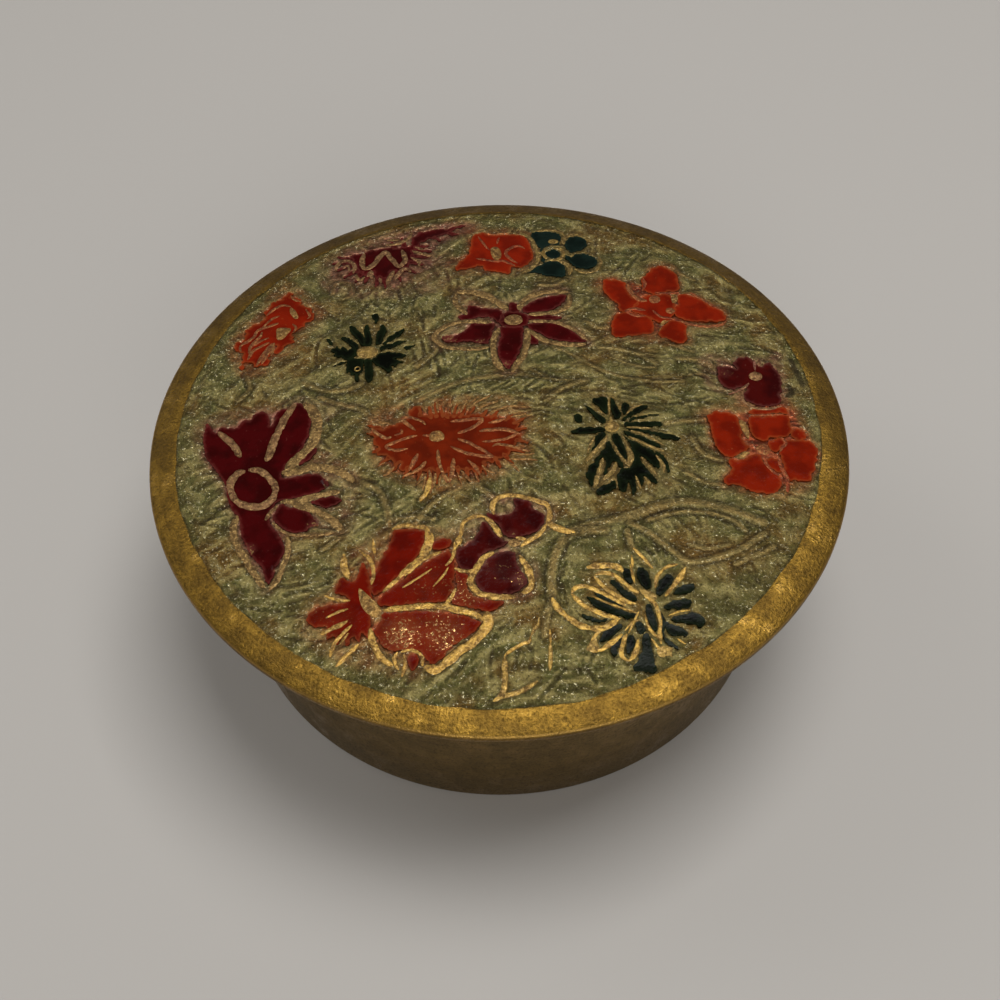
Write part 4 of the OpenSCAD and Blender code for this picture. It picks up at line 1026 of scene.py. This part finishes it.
def stippled_ground():
    """Green-gold metallic lacquer over brass that is chased in soft ripples and punched with fine
    grain, so that it glints. The ripples' crests are painted lighter, a painted highlight, and their
    troughs darker, painted shade; the near-white colour of the lightest grains is a painted glint."""
    material, tree, shader = finish("chased_lacquered_brass")
    place = in_mm(tree)
    stain, rubbed, groove, crest_shading = (
        node(tree, "Attribute", {}, "Fac", attribute_name=mark)
        for mark in ("stain", "rubbed", "groove", "crest_shading"))
    # Grit of 0.4 mm, drawn a little coarser than the finest real grains so that it shows, and the
    # lumps, patches and clouds in which the lacquer's colour turns, by their size in mm
    grit, lumps, patch, cloud = (
        node(tree, "TexNoise", {"Vector": place, "Scale": 1 / size, "Detail": detail, "Roughness": rough})
        for size, detail, rough in ((0.4, 3.0, 0.8), (1.2, 3.0, 0.6), (2.6, 2.0, 0.5), (9.0, 4.0, 0.6)))
    colour = coat(tree, "#644918", "#535025", cloud, (0.37, 0.0), (0.52, 1.0))
    colour = coat(tree, colour, "#3C2F10", patch, (0.38, 0.35), (0.48, 0.0))
    colour = coat(tree, colour, "#988A54", patch, (0.51, 0.0), (0.61, 0.45))
    colour = coat(tree, colour, "#3A2B0A", lumps, (0.35, 0.35), (0.5, 0.0))
    # Painted shade in the troughs of the ripples and a painted highlight on their crests
    colour = coat(tree, colour, "#2C2008", crest_shading, (0.08, 0.85), (0.5, 0.0))
    colour = coat(tree, colour, "#A3935A", crest_shading, (0.5, 0.0), (0.85, 0.8))
    spread = node(tree, "ValToRGB", {"Fac": lumps}, stops=((0.4, 0.0), (0.6, 1.0)))
    colour = coat(tree, colour, coat(tree, "#4A3B1A", "#665128", spread), rubbed)
    colour = coat(tree, colour, red_stain(tree, spread), stain)
    # The grit is weaker where the lacquer is rubbed off or stained
    covered = node(tree, "Math", {0: rubbed, 1: stain}, operation="MAXIMUM")
    gritty = node(tree, "ValToRGB", {"Fac": covered}, stops=((0.0, 1.0), (1.0, 0.4)))
    # Light and dark grains of the punched grit; the near-white colour of the light ones is a painted
    # glint
    light, dark = ((0.59, 0.0), (0.68, 0.8)), ((0.34, 0.75), (0.46, 0.0))
    for tone, stops in (("#E0D6AC", light), ("#241B06", dark)):
        grains = node(tree, "ValToRGB", {"Fac": grit}, stops=stops)
        grains = node(tree, "Math", {0: grains, 1: gritty}, operation="MULTIPLY")
        colour = coat(tree, colour, tone, grains)
    # Darker where the groove mark is set: black pooled lacquer, the graver's cuts, the feet of the
    # broader lines, the very edge by the ring, and painted shade along the stems' sides
    colour = coat(tree, colour, "#231A06", groove)
    rough = node(tree, "ValToRGB", {"Fac": grit}, stops=((0.3, 0.55), (0.68, 0.22)))
    punched = node(tree, "Math", {0: grit, 1: gritty}, operation="MULTIPLY")
    relief = node(tree, "Bump", {"Height": lumps, "Distance": 0.2 * METRE})
    relief = node(tree, "Bump", {"Height": punched, "Distance": 0.24 * METRE, "Normal": relief})
    connect(tree, shader, {"Base Color": colour, "Metallic": 0.8, "Roughness": rough, "Normal": relief})
    return material


def enamel(name, colour, deep, bleached):
    """Opaque glass enamel fired in its cell and ground flush: deep colour, a thin gloss, a few small
    pits, and a brown blush with grains of bare metal where it is worn."""
    material, tree, shader = finish(name)
    place = in_mm(tree)
    worn = node(tree, "Attribute", {}, "Fac", attribute_name="worn")
    # Deeper and thinner places 3 mm across
    depth = node(tree, "TexNoise", {"Vector": place, "Scale": 1 / 3.0, "Detail": 2.0, "Roughness": 0.5})
    # Pits of 0.5 mm, and grains of 0.4 mm where the metal shows, both near their real size
    pits = node(tree, "TexNoise", {"Vector": place, "Scale": 1 / 0.5, "Detail": 3.0, "Roughness": 0.65})
    grains = node(tree, "TexNoise", {"Vector": place, "Scale": 1 / 0.4, "Detail": 3.0, "Roughness": 0.75})
    # The more worn a place is, the more grains show through, and none where it isn't worn at all
    shown = node(tree, "Math", {0: worn, 1: 0.16, 2: grains}, operation="MULTIPLY_ADD")
    shown = node(tree, "ValToRGB", {"Fac": shown}, stops=((0.66, 0.0), (0.73, 1.0)))
    touched = node(tree, "ValToRGB", {"Fac": worn}, stops=((0.0, 0.0), (0.12, 1.0)))
    through = node(tree, "Math", {0: shown, 1: touched}, operation="MULTIPLY")
    base = coat(tree, colour, deep, depth, (0.4, 0.0), (0.6, 1.0))
    base = coat(tree, base, bleached, pits, (0.68, 0.0), (0.74, 0.35))
    base = coat(tree, base, bleached, node(tree, "Attribute", {}, "Fac", attribute_name="edge"))
    base = coat(tree, base, bleached, node(tree, "Math", {0: worn, 1: 0.35}, operation="MULTIPLY"))
    base = coat(tree, base, "#D2A56A", through)
    rough = node(tree, "ValToRGB", {"Fac": pits}, stops=((0.4, 0.14), (0.75, 0.25)))
    relief = node(tree, "Bump", {"Height": depth, "Distance": 0.12 * METRE})
    relief = node(tree, "Bump", {"Height": pits, "Distance": 0.05 * METRE, "Normal": relief})
    connect(tree, shader, {"Base Color": base, "Metallic": through, "Roughness": rough, "IOR": 1.5,
                           "Specular IOR Level": 0.05, "Normal": relief})
    return material


ring_brass = turned_brass("turned_brass_ring", "#866728", "#654D20", "#3B2B13", 0.39, 0.25, 0.13)
cup_brass = turned_brass("turned_brass_cup", "#927849", "#7C6740", "#4C3D2C", 0.42, 0.35, 0.04)
line_brass = chased_brass()
ground_metal = stippled_ground()
# The crimson wears to a pale rosy bloom, the others through to the brass
GLAZES = {
    "crimson": enamel("crimson_enamel", "#380304", "#290202", "#7E4038"),
    "orange": enamel("orange_enamel", "#6F1603", "#5A0F02", "#A05A2C"),
    "brick": enamel("brick_enamel", "#621B06", "#4E1304", "#9C5C30"),
    "scarlet": enamel("scarlet_enamel", "#5C0C02", "#4A0802", "#96522E"),
    "maroon": enamel("maroon_enamel", "#3A0604", "#290303", "#7C4A40"),
    "green": enamel("green_enamel", "#0A1005", "#040502", "#26301A"),
    "teal": enamel("teal_enamel", "#0E1A15", "#07100C", "#22332A"),
}
# How far the red glazes have stained the metal round them, and how orange that stain is
STAIN = {"crimson": 0.8, "orange": 0.8, "brick": 0.85, "scarlet": 0.6, "maroon": 0.75, "green": 0.0,
         "teal": 0.0}
WARM = {"orange": 1.0, "brick": 1.0, "scarlet": 0.8}


# ---------------------------------------------------------------- the brass pieces

def make_cup():
    """Cup with an upright wall and a flat floor, its edges eased on the lathe."""
    outside = [
        (0, 0), (20, 0), (CUP_R - 1.1, 0), (CUP_R - 0.45, 0.05), (CUP_R - 0.12, 0.18), (CUP_R, 0.45),
        (CUP_R, 8), (CUP_R, 16), (CUP_R, 24), (CUP_R, CUP_H - 0.35), (CUP_R - 0.07, CUP_H - 0.1),
        (CUP_R - 0.3, CUP_H)]
    bore = [
        (BORE_R + 0.35, CUP_H), (BORE_R + 0.08, CUP_H - 0.1), (BORE_R, CUP_H - 0.4), (BORE_R, 16),
        (BORE_R, CUP_FLOOR + 1.2), (BORE_R - 0.15, CUP_FLOOR + 0.5), (BORE_R - 0.6, CUP_FLOOR + 0.1),
        (BORE_R - 1.2, CUP_FLOOR), (20, CUP_FLOOR), (0, CUP_FLOOR)]
    shape = Shape()
    turned(shape, (outside + bore)[::-1], 256)
    return shape.make("cup_shell", [cup_brass], 30)


def make_collar():
    """Collar let a little way into the lid's underside, its foot eased to find the cup."""
    top = CUP_H + 0.05
    shape = Shape()
    turned(shape, [
        (COLLAR_BORE_R + 0.05, COLLAR_BOTTOM), (COLLAR_R - 0.3, COLLAR_BOTTOM),
        (COLLAR_R - 0.07, COLLAR_BOTTOM + 0.12), (COLLAR_R, COLLAR_BOTTOM + 0.4), (COLLAR_R, top),
        (COLLAR_BORE_R, top), (COLLAR_BORE_R, COLLAR_BOTTOM + 0.1)][::-1], 256)
    return shape.make("collar_band", [cup_brass], 30)


# Flowers at the front of the lid whose lines are painted bright gold, a painted highlight
HIGHLIT_FLOWERS = ("daisy_green_front", "poppy_red", "pansy_maroon")


def raise_lines(shape, name):
    """A flower's raised lines, rings, bosses and pads."""
    flower = FLOWERS[name]
    stain, warm = STAIN[flower["glaze"]], WARM.get(flower["glaze"], 0.0)
    bright = name in HIGHLIT_FLOWERS
    soak = flower.get("soak", 0.5)

    def boss_top(x, y, near):
        return dome(x, y) + np.minimum(0.08, 0.02 + 0.3 * near)

    def pad_top(x, y, near):
        return dome(x, y) + np.minimum(0.05, 0.3 * near)

    for text in flower.get("lines", []):
        width, path = wide_line(text)
        path = smooth(path, False, 0.25)
        flooded = np.mean(np.any([inside(*path.T, cell) for cell in CELLS[name]], 0))
        tint = stain * (0.2 if bright else soak * (0.7 + flooded)) * (1 if width < 0.8 else 0.7)
        # Lines of the flowers at the front are painted bright, a painted highlight, and the others dull
        swept_line(shape, path, width, 0.02 + 0.02 * min(width, 1), stain=min(tint, 0.95), warm=warm,
                   pale=0.85 if bright else 0.15)
    for text in flower.get("rings", []):
        x, y, r, width = places(text)[0]
        swept_line(shape, circle(x, y, r, r, 60), width, 0.04, closed=True, stain=stain * 0.3,
                   warm=warm, pale=0.35)
    for text in flower.get("bosses", []):
        x, y, rx, ry = places(text)[0]
        uneven = 1 + 0.1 * hills(*circle(x, y, 2, 2, 28).T, 1.3, 45)
        filled(shape, circle(x, y, rx, ry, 28, uneven), boss_top, LINE_SINK, 0.3, LINE_SLOT,
               stain=stain * (0.1 + 0.6 * soak), warm=warm, pale=0.3)
    for text in flower.get("pads", []):
        filled(shape, smooth(places(text), True), pad_top, LINE_SINK, 0.4, LINE_SLOT,
               stain=stain * 0.35, warm=warm, pale=0.3)


def make_lid():
    """Ring and plate of the lid, with all its raised lines and bosses."""
    hollow_r = COLLAR_BORE_R - 0.02
    hollow = [(r, dome(r, 0) - PLATE_THICK) for r in (0, 10, 20, 30, hollow_r)]
    edge = [
        (hollow_r, CUP_H), (44, CUP_H), (LID_R - 0.4, CUP_H), (LID_R - 0.1, CUP_H + 0.1),
        (LID_R, CUP_H + 0.35), (LID_R, EDGE_Z - 0.4), (LID_R - 0.07, EDGE_Z - 0.12),
        (LID_R - 0.3, EDGE_Z + 0.03)]
    ring = [
        (49, 34.05), (48, 34.33), (47.2, 34.57), (FIELD_R + 0.1, RING_Z), (FIELD_R - 0.1, RING_Z),
        (FIELD_R - 0.1, 34.3)]
    floor = [(r, dome(r, 0) - ENAMEL_DEPTH - 0.02) for r in (45.4, 40, 30, 20, 10, 0)]

    def stray(r, angle):
        return ring_edge(angle) - FIELD_R if abs(r - FIELD_R) < 0.2 else 0 * angle

    # A thin line on the bevel of the lid's edge, smoother and painted brighter as a painted highlight
    def burnished(r):
        return np.clip(1.4 - np.abs(r - LID_R + 0.12) / 0.09, 0, 1)

    shape = Shape("stain", "pale", "warm", "burnished")
    turned(shape, hollow + edge + ring + floor, 360, stray, burnished=burnished)
    for name in FLOWERS:
        raise_lines(shape, name)
    # Strokes painted bright and half bright, painted highlights
    for strokes, pale in ((STROKES_PAINTED_LIT, 1.0), (STROKES_PAINTED_HALF_LIT, 0.5)):
        for text in strokes:
            width, path = wide_line(text)
            swept_line(shape, smooth(path, False, 0.25), width, 0.06, pale=pale)
    return shape.make("lid_top", [ring_brass, line_brass], 45)


# ---------------------------------------------------------------- the enamels

def make_enamel(name):
    """One flower's enamel, each cell filled nearly flush and drawn up a little at its edge."""
    flower = FLOWERS[name]

    def chipped(x, y):
        dip = 0 * x
        for text in flower.get("chips", []):
            cx, cy, r = places(text)[0]
            gap = np.hypot(x - cx, y - cy) + 0.15 * np.sin(x * 7) * np.cos(y * 6)
            dip = np.maximum(dip, 0.5 * (gap < r))
        return dip

    def top(x, y, near):
        swell = 0.02 * np.sin(x * 1.3 + y * 0.7) * np.sin(y * 1.1 - x * 0.4)
        return dome(x, y) - 0.03 + swell + 0.03 * np.exp(-near / 0.3) - chipped(x, y)

    def worn(x, y, near):
        amount = 0 * near
        for text in flower.get("worn", []):
            cx, cy, r, much = places(text)[0]
            gap = np.hypot(x - cx, y - cy)
            amount = np.maximum(amount, much * np.clip(1.3 - gap / r, 0, 1))
        return amount

    def edge(x, y, near):
        return 0.25 * np.clip(1 - near / 0.3, 0, 1)

    shape = Shape("edge", "worn")
    for cell in CELLS[name]:
        filled(shape, cell, top, ENAMEL_DEPTH, 0.45, worn=worn, edge=edge)
    return shape.make(name + "_glaze", [GLAZES[flower["glaze"]]], 50)


# ---------------------------------------------------------------- the ground between the flowers

# Underside of the ground's coat, and where the coat meets the ring
GROUND_BOTTOM = 34.15
GROUND_RIM = FIELD_Z + 0.14
# How many short strokes the graver made, the depth of a cut, and the height of its burr
GRAVER_STROKES = 480
CUT_DEPTH = 0.07
BURR = 0.045


def ripples(x, y):
    """Height of the chased ripples, which run up to the right on the left half and level on the
    right half, with calmer places, and of a slow swell under them."""
    along = x + 4 * hills(x, y, 13, 31)
    across = y + 0.45 * (np.sqrt(x * x + 60) - x) + 4 * hills(x, y, 13, 32)
    rough = 0.6 * hills(along * 0.28, across, 1.5, 33) + 0.4 * hills(along * 0.4, across, 0.8, 34)
    calm = 0.55 + 0.45 * hills(x, y, 9, 35)
    return 0.2 * rough * calm + 0.06 * hills(x, y, 4, 1) + 0.04 * hills(x, y, 1.4, 2)


def lift(layer, part, values):
    """Raise a part of a layer to values where it is lower."""
    layer[part] = np.maximum(layer[part], values)


class Ground:
    """Heights and stains of the ground, laid on a square grid of points over the field."""

    step = 0.27

    def __init__(self):
        n = int(FIELD_R / self.step) + 2
        self.axis = np.arange(-n, n + 1) * self.step
        self.x, self.y = np.meshgrid(self.axis, self.axis, indexing="ij")
        self.height = ripples(self.x, self.y)
        self.rubbed = 0.25 * np.clip(hills(self.x, self.y, 5.0, 7), 0, 1)
        self.groove, self.dip, self.red, self.wash, self.orange = np.zeros((5, *self.x.shape))

    def window(self, path, reach):
        """The part of the grid within reach of a path, and its points."""
        (left, near), (right, far) = path.min(0) - reach, path.max(0) + reach
        part = (slice(*np.searchsorted(self.axis, [left, right])),
                slice(*np.searchsorted(self.axis, [near, far])))
        return part, self.x[part], self.y[part]

    def beside(self, path, reach):
        """The part of the grid within reach of a path, and how far its points lie from it."""
        part, x, y = self.window(path, reach)
        return part, distance(x, y, path, False)

    def within(self, outline):
        """The part of the grid round an outline, and which of its points lie inside."""
        part, x, y = self.window(outline, 1)
        return part, inside(x, y, outline)

    def raise_stems(self):
        """Broad stems and leaves, raised and rubbed smooth, with painted shade along their sides."""
        for text in GROUND_LINES:
            width, path = wide_line(text)
            part, off = self.beside(smooth(path, False), width + 0.8)
            off = off / (width / 2)
            height = self.height[part] + np.clip(1 - off ** 2, 0, 1) * (0.15 - 0.6 * self.height[part])
            edge = np.exp(-((off - 1.3) * width / 2 / 0.2) ** 2)
            self.height[part] = height - 0.07 * edge
            lift(self.rubbed, part, 0.85 * np.clip(1.6 - 1.3 * off, 0, 1))
            # Painted shade at the foot of each side, in patches
            shade_patches = 0.7 + 0.6 * hills(self.x[part], self.y[part], 3, 36)
            lift(self.groove, part, 0.5 * edge * shade_patches)

    def pool_lacquer(self):
        """Black pools of lacquer."""
        for text in BLOTS:
            width, path = wide_line(text)
            part, off = self.beside(smooth(path, False), width)
            lift(self.groove, part, 0.85 * np.clip(1.6 - off / (width / 2), 0, 1))

    def lay_flowers(self):
        """The sunk beds of the enamels, and the washes of stain round them."""
        for name, flower in FLOWERS.items():
            warm = WARM.get(flower["glaze"], 0.0)
            for text in flower.get("washes", []):
                strength, outline = wide_line(text)
                part, within = self.within(smooth(outline, True))
                lift(self.wash, part, strength * within)
                lift(self.orange, part, warm * within)
            for cell in CELLS[name]:
                part, within = self.within(cell)
                lift(self.dip, part, within)
                if STAIN[flower["glaze"]]:
                    lift(self.red, part, within)
                    lift(self.orange, part, warm * within)
                else:
                    lift(self.rubbed, part, within)

    def sink_beside_lines(self):
        """Level ground under the brass lines, darker at the foot of the broader ones."""
        lines = [text for flower in FLOWERS.values() for text in flower.get("lines", [])]
        for text in lines + STROKES_PAINTED_LIT + STROKES_PAINTED_HALF_LIT:
            width, path = wide_line(text)
            part, off = self.beside(smooth(path, False), 2)
            cover = np.clip(1.3 - (off - width * 0.4) / 0.5, 0, 1)
            self.height[part] -= cover * (0.02 + 0.8 * self.height[part])
            if width > 0.6:
                lift(self.groove, part, 0.45 * np.exp(-((off - width * 0.58) / 0.18) ** 2))

    def engrave(self):
        """Short curved strokes of the graver, set loosely in rows, each with its burr."""
        rng = random.Random(11)
        for _ in range(GRAVER_STROKES):
            x, y = rng.uniform(-45, 45), rng.uniform(-45, 45)
            heading = math.atan2(y - 18 * math.sin(x / 17), x + 12 * math.cos(y / 13))
            heading += rng.uniform(-0.5, 0.5)
            length, bend = rng.uniform(2, 6), rng.uniform(-0.35, 0.35)
            path = [(x, y)]
            for _ in range(6):
                heading += bend / 4
                x, y = x + math.cos(heading) * length / 6, y + math.sin(heading) * length / 6
                path.append((x, y))
            path = np.array(path)
            if np.hypot(*path.T).max() > FIELD_R - 0.8:
                continue
            part, off = self.beside(path, 1)
            cut = np.exp(-(off / 0.24) ** 2)
            self.height[part] += BURR * np.exp(-((off - 0.5) / 0.2) ** 2) - CUT_DEPTH * cut
            lift(self.groove, part, 0.25 * cut)

    def spread_stains(self):
        """How stained the ground is, and how orange the stain. It soaks out of the beds and the
        washes in an uneven halo, and round the green enamels the brass shows instead."""
        x, y, step = self.x, self.y, self.step
        halo = np.clip(soften(self.red, step, 0.5) * 1.6 * (0.8 + 0.5 * hills(x, y, 0.9, 9))
                       + soften(self.red, step, 1.5) * (0.35 + 0.5 * hills(x, y, 2.2, 10)), 0, 0.9)
        wash = soften(self.wash, step, 0.45)
        wash *= np.clip(0.8 + 0.45 * hills(x, y, 1.6, 37) + 1.5 * np.clip(wash - 0.6, 0, 1), 0, 1)
        stained = soften(np.maximum(self.red, wash > 0.1), step, 1.2)
        warm = np.clip(1.6 * soften(self.orange, step, 1.2) / np.maximum(stained, 0.02), 0, 1)
        green = soften(np.where(self.dip > self.red, self.dip, 0), step, 1.2)
        self.rubbed = np.clip(self.rubbed + 1.2 * green, 0, 0.85)
        return np.clip(np.maximum(halo, wash), 0, 0.95), warm

    def meet_ring(self):
        """Heights of the finished surface. The lacquer banks up a little inside the ring, rubbed
        where it is high and dark at the very edge."""
        x, y = self.x, self.y
        from_rim = ring_edge(np.arctan2(y, x)) - np.hypot(x, y)
        bank = 0.18 * np.exp(-((from_rim - 1.35 + 0.3 * hills(x, y, 3, 24)) / 0.4) ** 2)
        bank *= np.clip(0.6 + hills(x, y, 6.0, 21), 0, 1)
        self.rubbed = np.maximum(self.rubbed, 2.4 * bank)
        dark = 0.75 * np.clip(1.1 - from_rim / 0.42, 0, 1) * np.clip(0.7 + hills(x, y, 2.5, 23), 0, 1)
        self.groove = np.maximum(self.groove, dark)
        height = 0.2 * np.tanh(self.height / 0.2) - 0.34 * self.dip
        return dome(x, y) - 0.03 + height + bank + 0.12 * np.exp(-(from_rim / 0.6) ** 2)

    def squares(self):
        """Squares of the grid that lie inside the ring, as the numbers of their corners."""
        mid_x, mid_y = self.x[:-1, :-1] + self.step / 2, self.y[:-1, :-1] + self.step / 2
        i, j = np.nonzero(np.hypot(mid_x, mid_y) < ring_edge(np.arctan2(mid_y, mid_x)) - 0.1)
        index = np.arange(self.x.size).reshape(self.x.shape)
        return np.stack([index[i, j], index[i + 1, j], index[i + 1, j + 1], index[i, j + 1]], 1)


def make_ground():
    """The coat of the ground: its surface, drawn out to the ring, and a wall and underside."""
    ground = Ground()
    ground.raise_stems()
    ground.pool_lacquer()
    ground.lay_flowers()
    ground.sink_beside_lines()
    ground.engrave()
    # How far each point stands above its neighbours, which the ground's material turns into a painted
    # highlight on the crests and painted shade in the troughs
    crest_shading = np.clip(0.5 + 0.5 * (ground.height - soften(ground.height, ground.step, 1.0)) / 0.16, 0, 1)
    stain, warm = ground.spread_stains()
    z = ground.meet_ring()

    used, quads = renumbered(ground.squares(), z.size)
    x, y, z = (layer.ravel()[used] for layer in (ground.x, ground.y, z))
    border = np.flatnonzero(np.bincount(quads.ravel(), minlength=len(used)) < 4)
    reach = ring_edge(np.arctan2(y[border], x[border])) - 0.02
    stretch = reach / np.hypot(x[border], y[border])
    x[border] *= stretch
    y[border] *= stretch
    z[border] = GROUND_RIM

    loose = open_edges(quads)
    rim = sorted({a for a, b in loose})
    count = len(used)
    low = {v: count + k for k, v in enumerate(rim)}
    middle = count + len(rim)
    points = [*zip(x, y, z), *((x[v], y[v], GROUND_BOTTOM) for v in rim), (0, 0, GROUND_BOTTOM)]
    faces = [tuple(q) for q in quads] + [(b, a, low[a], low[b]) for a, b in loose]
    faces += [(low[b], low[a], middle) for a, b in loose]
    marks = {"stain": stain, "rubbed": ground.rubbed, "groove": ground.groove, "crest_shading": crest_shading,
             "warm": warm}
    shape = Shape(*marks)
    shape.add(points, faces, **{mark: np.concatenate([layer.ravel()[used], np.zeros(len(rim) + 1)])
                                for mark, layer in marks.items()})
    return shape.make("ground_coat", [ground_metal], 180)


cup = make_cup()
collar = make_collar()
lid = make_lid()
ground = make_ground()
glazes = {name: make_enamel(name) for name in FLOWERS}

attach(cup, "box")
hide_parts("cup")
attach(collar, "lid")
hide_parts("lid_collar")
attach(lid, "lid")
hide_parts("lid_plate", "raised_lines")
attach(ground, "lid")
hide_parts("ground_enamel")
for name, piece in glazes.items():
    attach(piece, "lid")
    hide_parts(name)


# ---------------------------------------------------------------- floor, light and camera

# In pixels of the square picture: its width, the focal length, and how far the middle of the lid's
# edge lies above the picture's middle
FRAME_PX = 1000
FOCAL_PX = 1383.49
LID_RISE_PX = 70.39
# From there, the camera stands STAND_OFF mm away and TILT radians up, and leans by LEAN
STAND_OFF = 200.0
TILT = 0.85006
LEAN = -0.02207


def make_floor():
    """Pale matt floor under the box."""
    material, tree, shader = finish("pale_floor")
    connect(tree, shader, {"Base Color": "#A5A19C", "Roughness": 0.9})
    half = 3.0
    mesh = bpy.data.meshes.new("floor")
    mesh.from_pydata([(-half, -half, 0), (half, -half, 0), (half, half, 0), (-half, half, 0)], [],
                     [(0, 1, 2, 3)])
    mesh.materials.append(material)
    floor = bpy.data.objects.new("floor", mesh)
    bpy.context.scene.collection.objects.link(floor)


def make_lamp(name, place, size, power):
    """Soft lamp aimed at the box. Its place and size are in metres, its power in watts."""
    data = bpy.data.lights.new(name, "AREA")
    data.shape = "RECTANGLE"
    data.size, data.size_y = size
    data.energy = power
    lamp = bpy.data.objects.new(name, data)
    lamp.location = place
    aim = Vector((0, 0, 0.02)) - Vector(place)
    lamp.rotation_euler = aim.to_track_quat("-Z", "Y").to_euler()
    bpy.context.scene.collection.objects.link(lamp)


def make_camera():
    """Camera at the photograph's angle, 48.7 degrees above the middle of the lid's edge."""
    data = bpy.data.cameras.new("camera")
    data.sensor_width = 36.0
    data.lens = FOCAL_PX / FRAME_PX * data.sensor_width
    camera = bpy.data.objects.new("camera", data)
    place = Vector((0, -STAND_OFF * math.cos(TILT), EDGE_Z + STAND_OFF * math.sin(TILT))) * METRE
    look = Vector((0, math.cos(TILT), -math.sin(TILT)))
    right = Vector((1, 0, 0))
    up = right.cross(look)
    drop = math.atan2(LID_RISE_PX, FOCAL_PX)
    aim = look * math.cos(drop) - up * math.sin(drop)
    up = up * math.cos(drop) + look * math.sin(drop)
    across = right * math.cos(LEAN) + up * math.sin(LEAN)
    up = up * math.cos(LEAN) - right * math.sin(LEAN)
    turn = Matrix((across, up, -aim)).transposed()
    camera.matrix_world = Matrix.Translation(place) @ turn.to_4x4()
    bpy.context.scene.collection.objects.link(camera)
    bpy.context.scene.camera = camera


make_floor()
make_lamp("overhead_softbox", (0.15, 0.08, 0.9), (0.5, 0.5), 6.8)
make_lamp("left_softbox", (-0.75, 0.4, 0.7), (0.5, 0.5), 1.6)
make_lamp("front_fill", (0.1, -0.8, 0.5), (0.6, 0.4), 3.0)
make_camera()

world = bpy.data.worlds.new("studio")
world.use_nodes = True
connect(world.node_tree, world.node_tree.nodes["Background"], {"Color": "#A9A7A3", "Strength": 0.55})
bpy.context.scene.world = world
bpy.context.scene.view_settings.view_transform = "Standard"
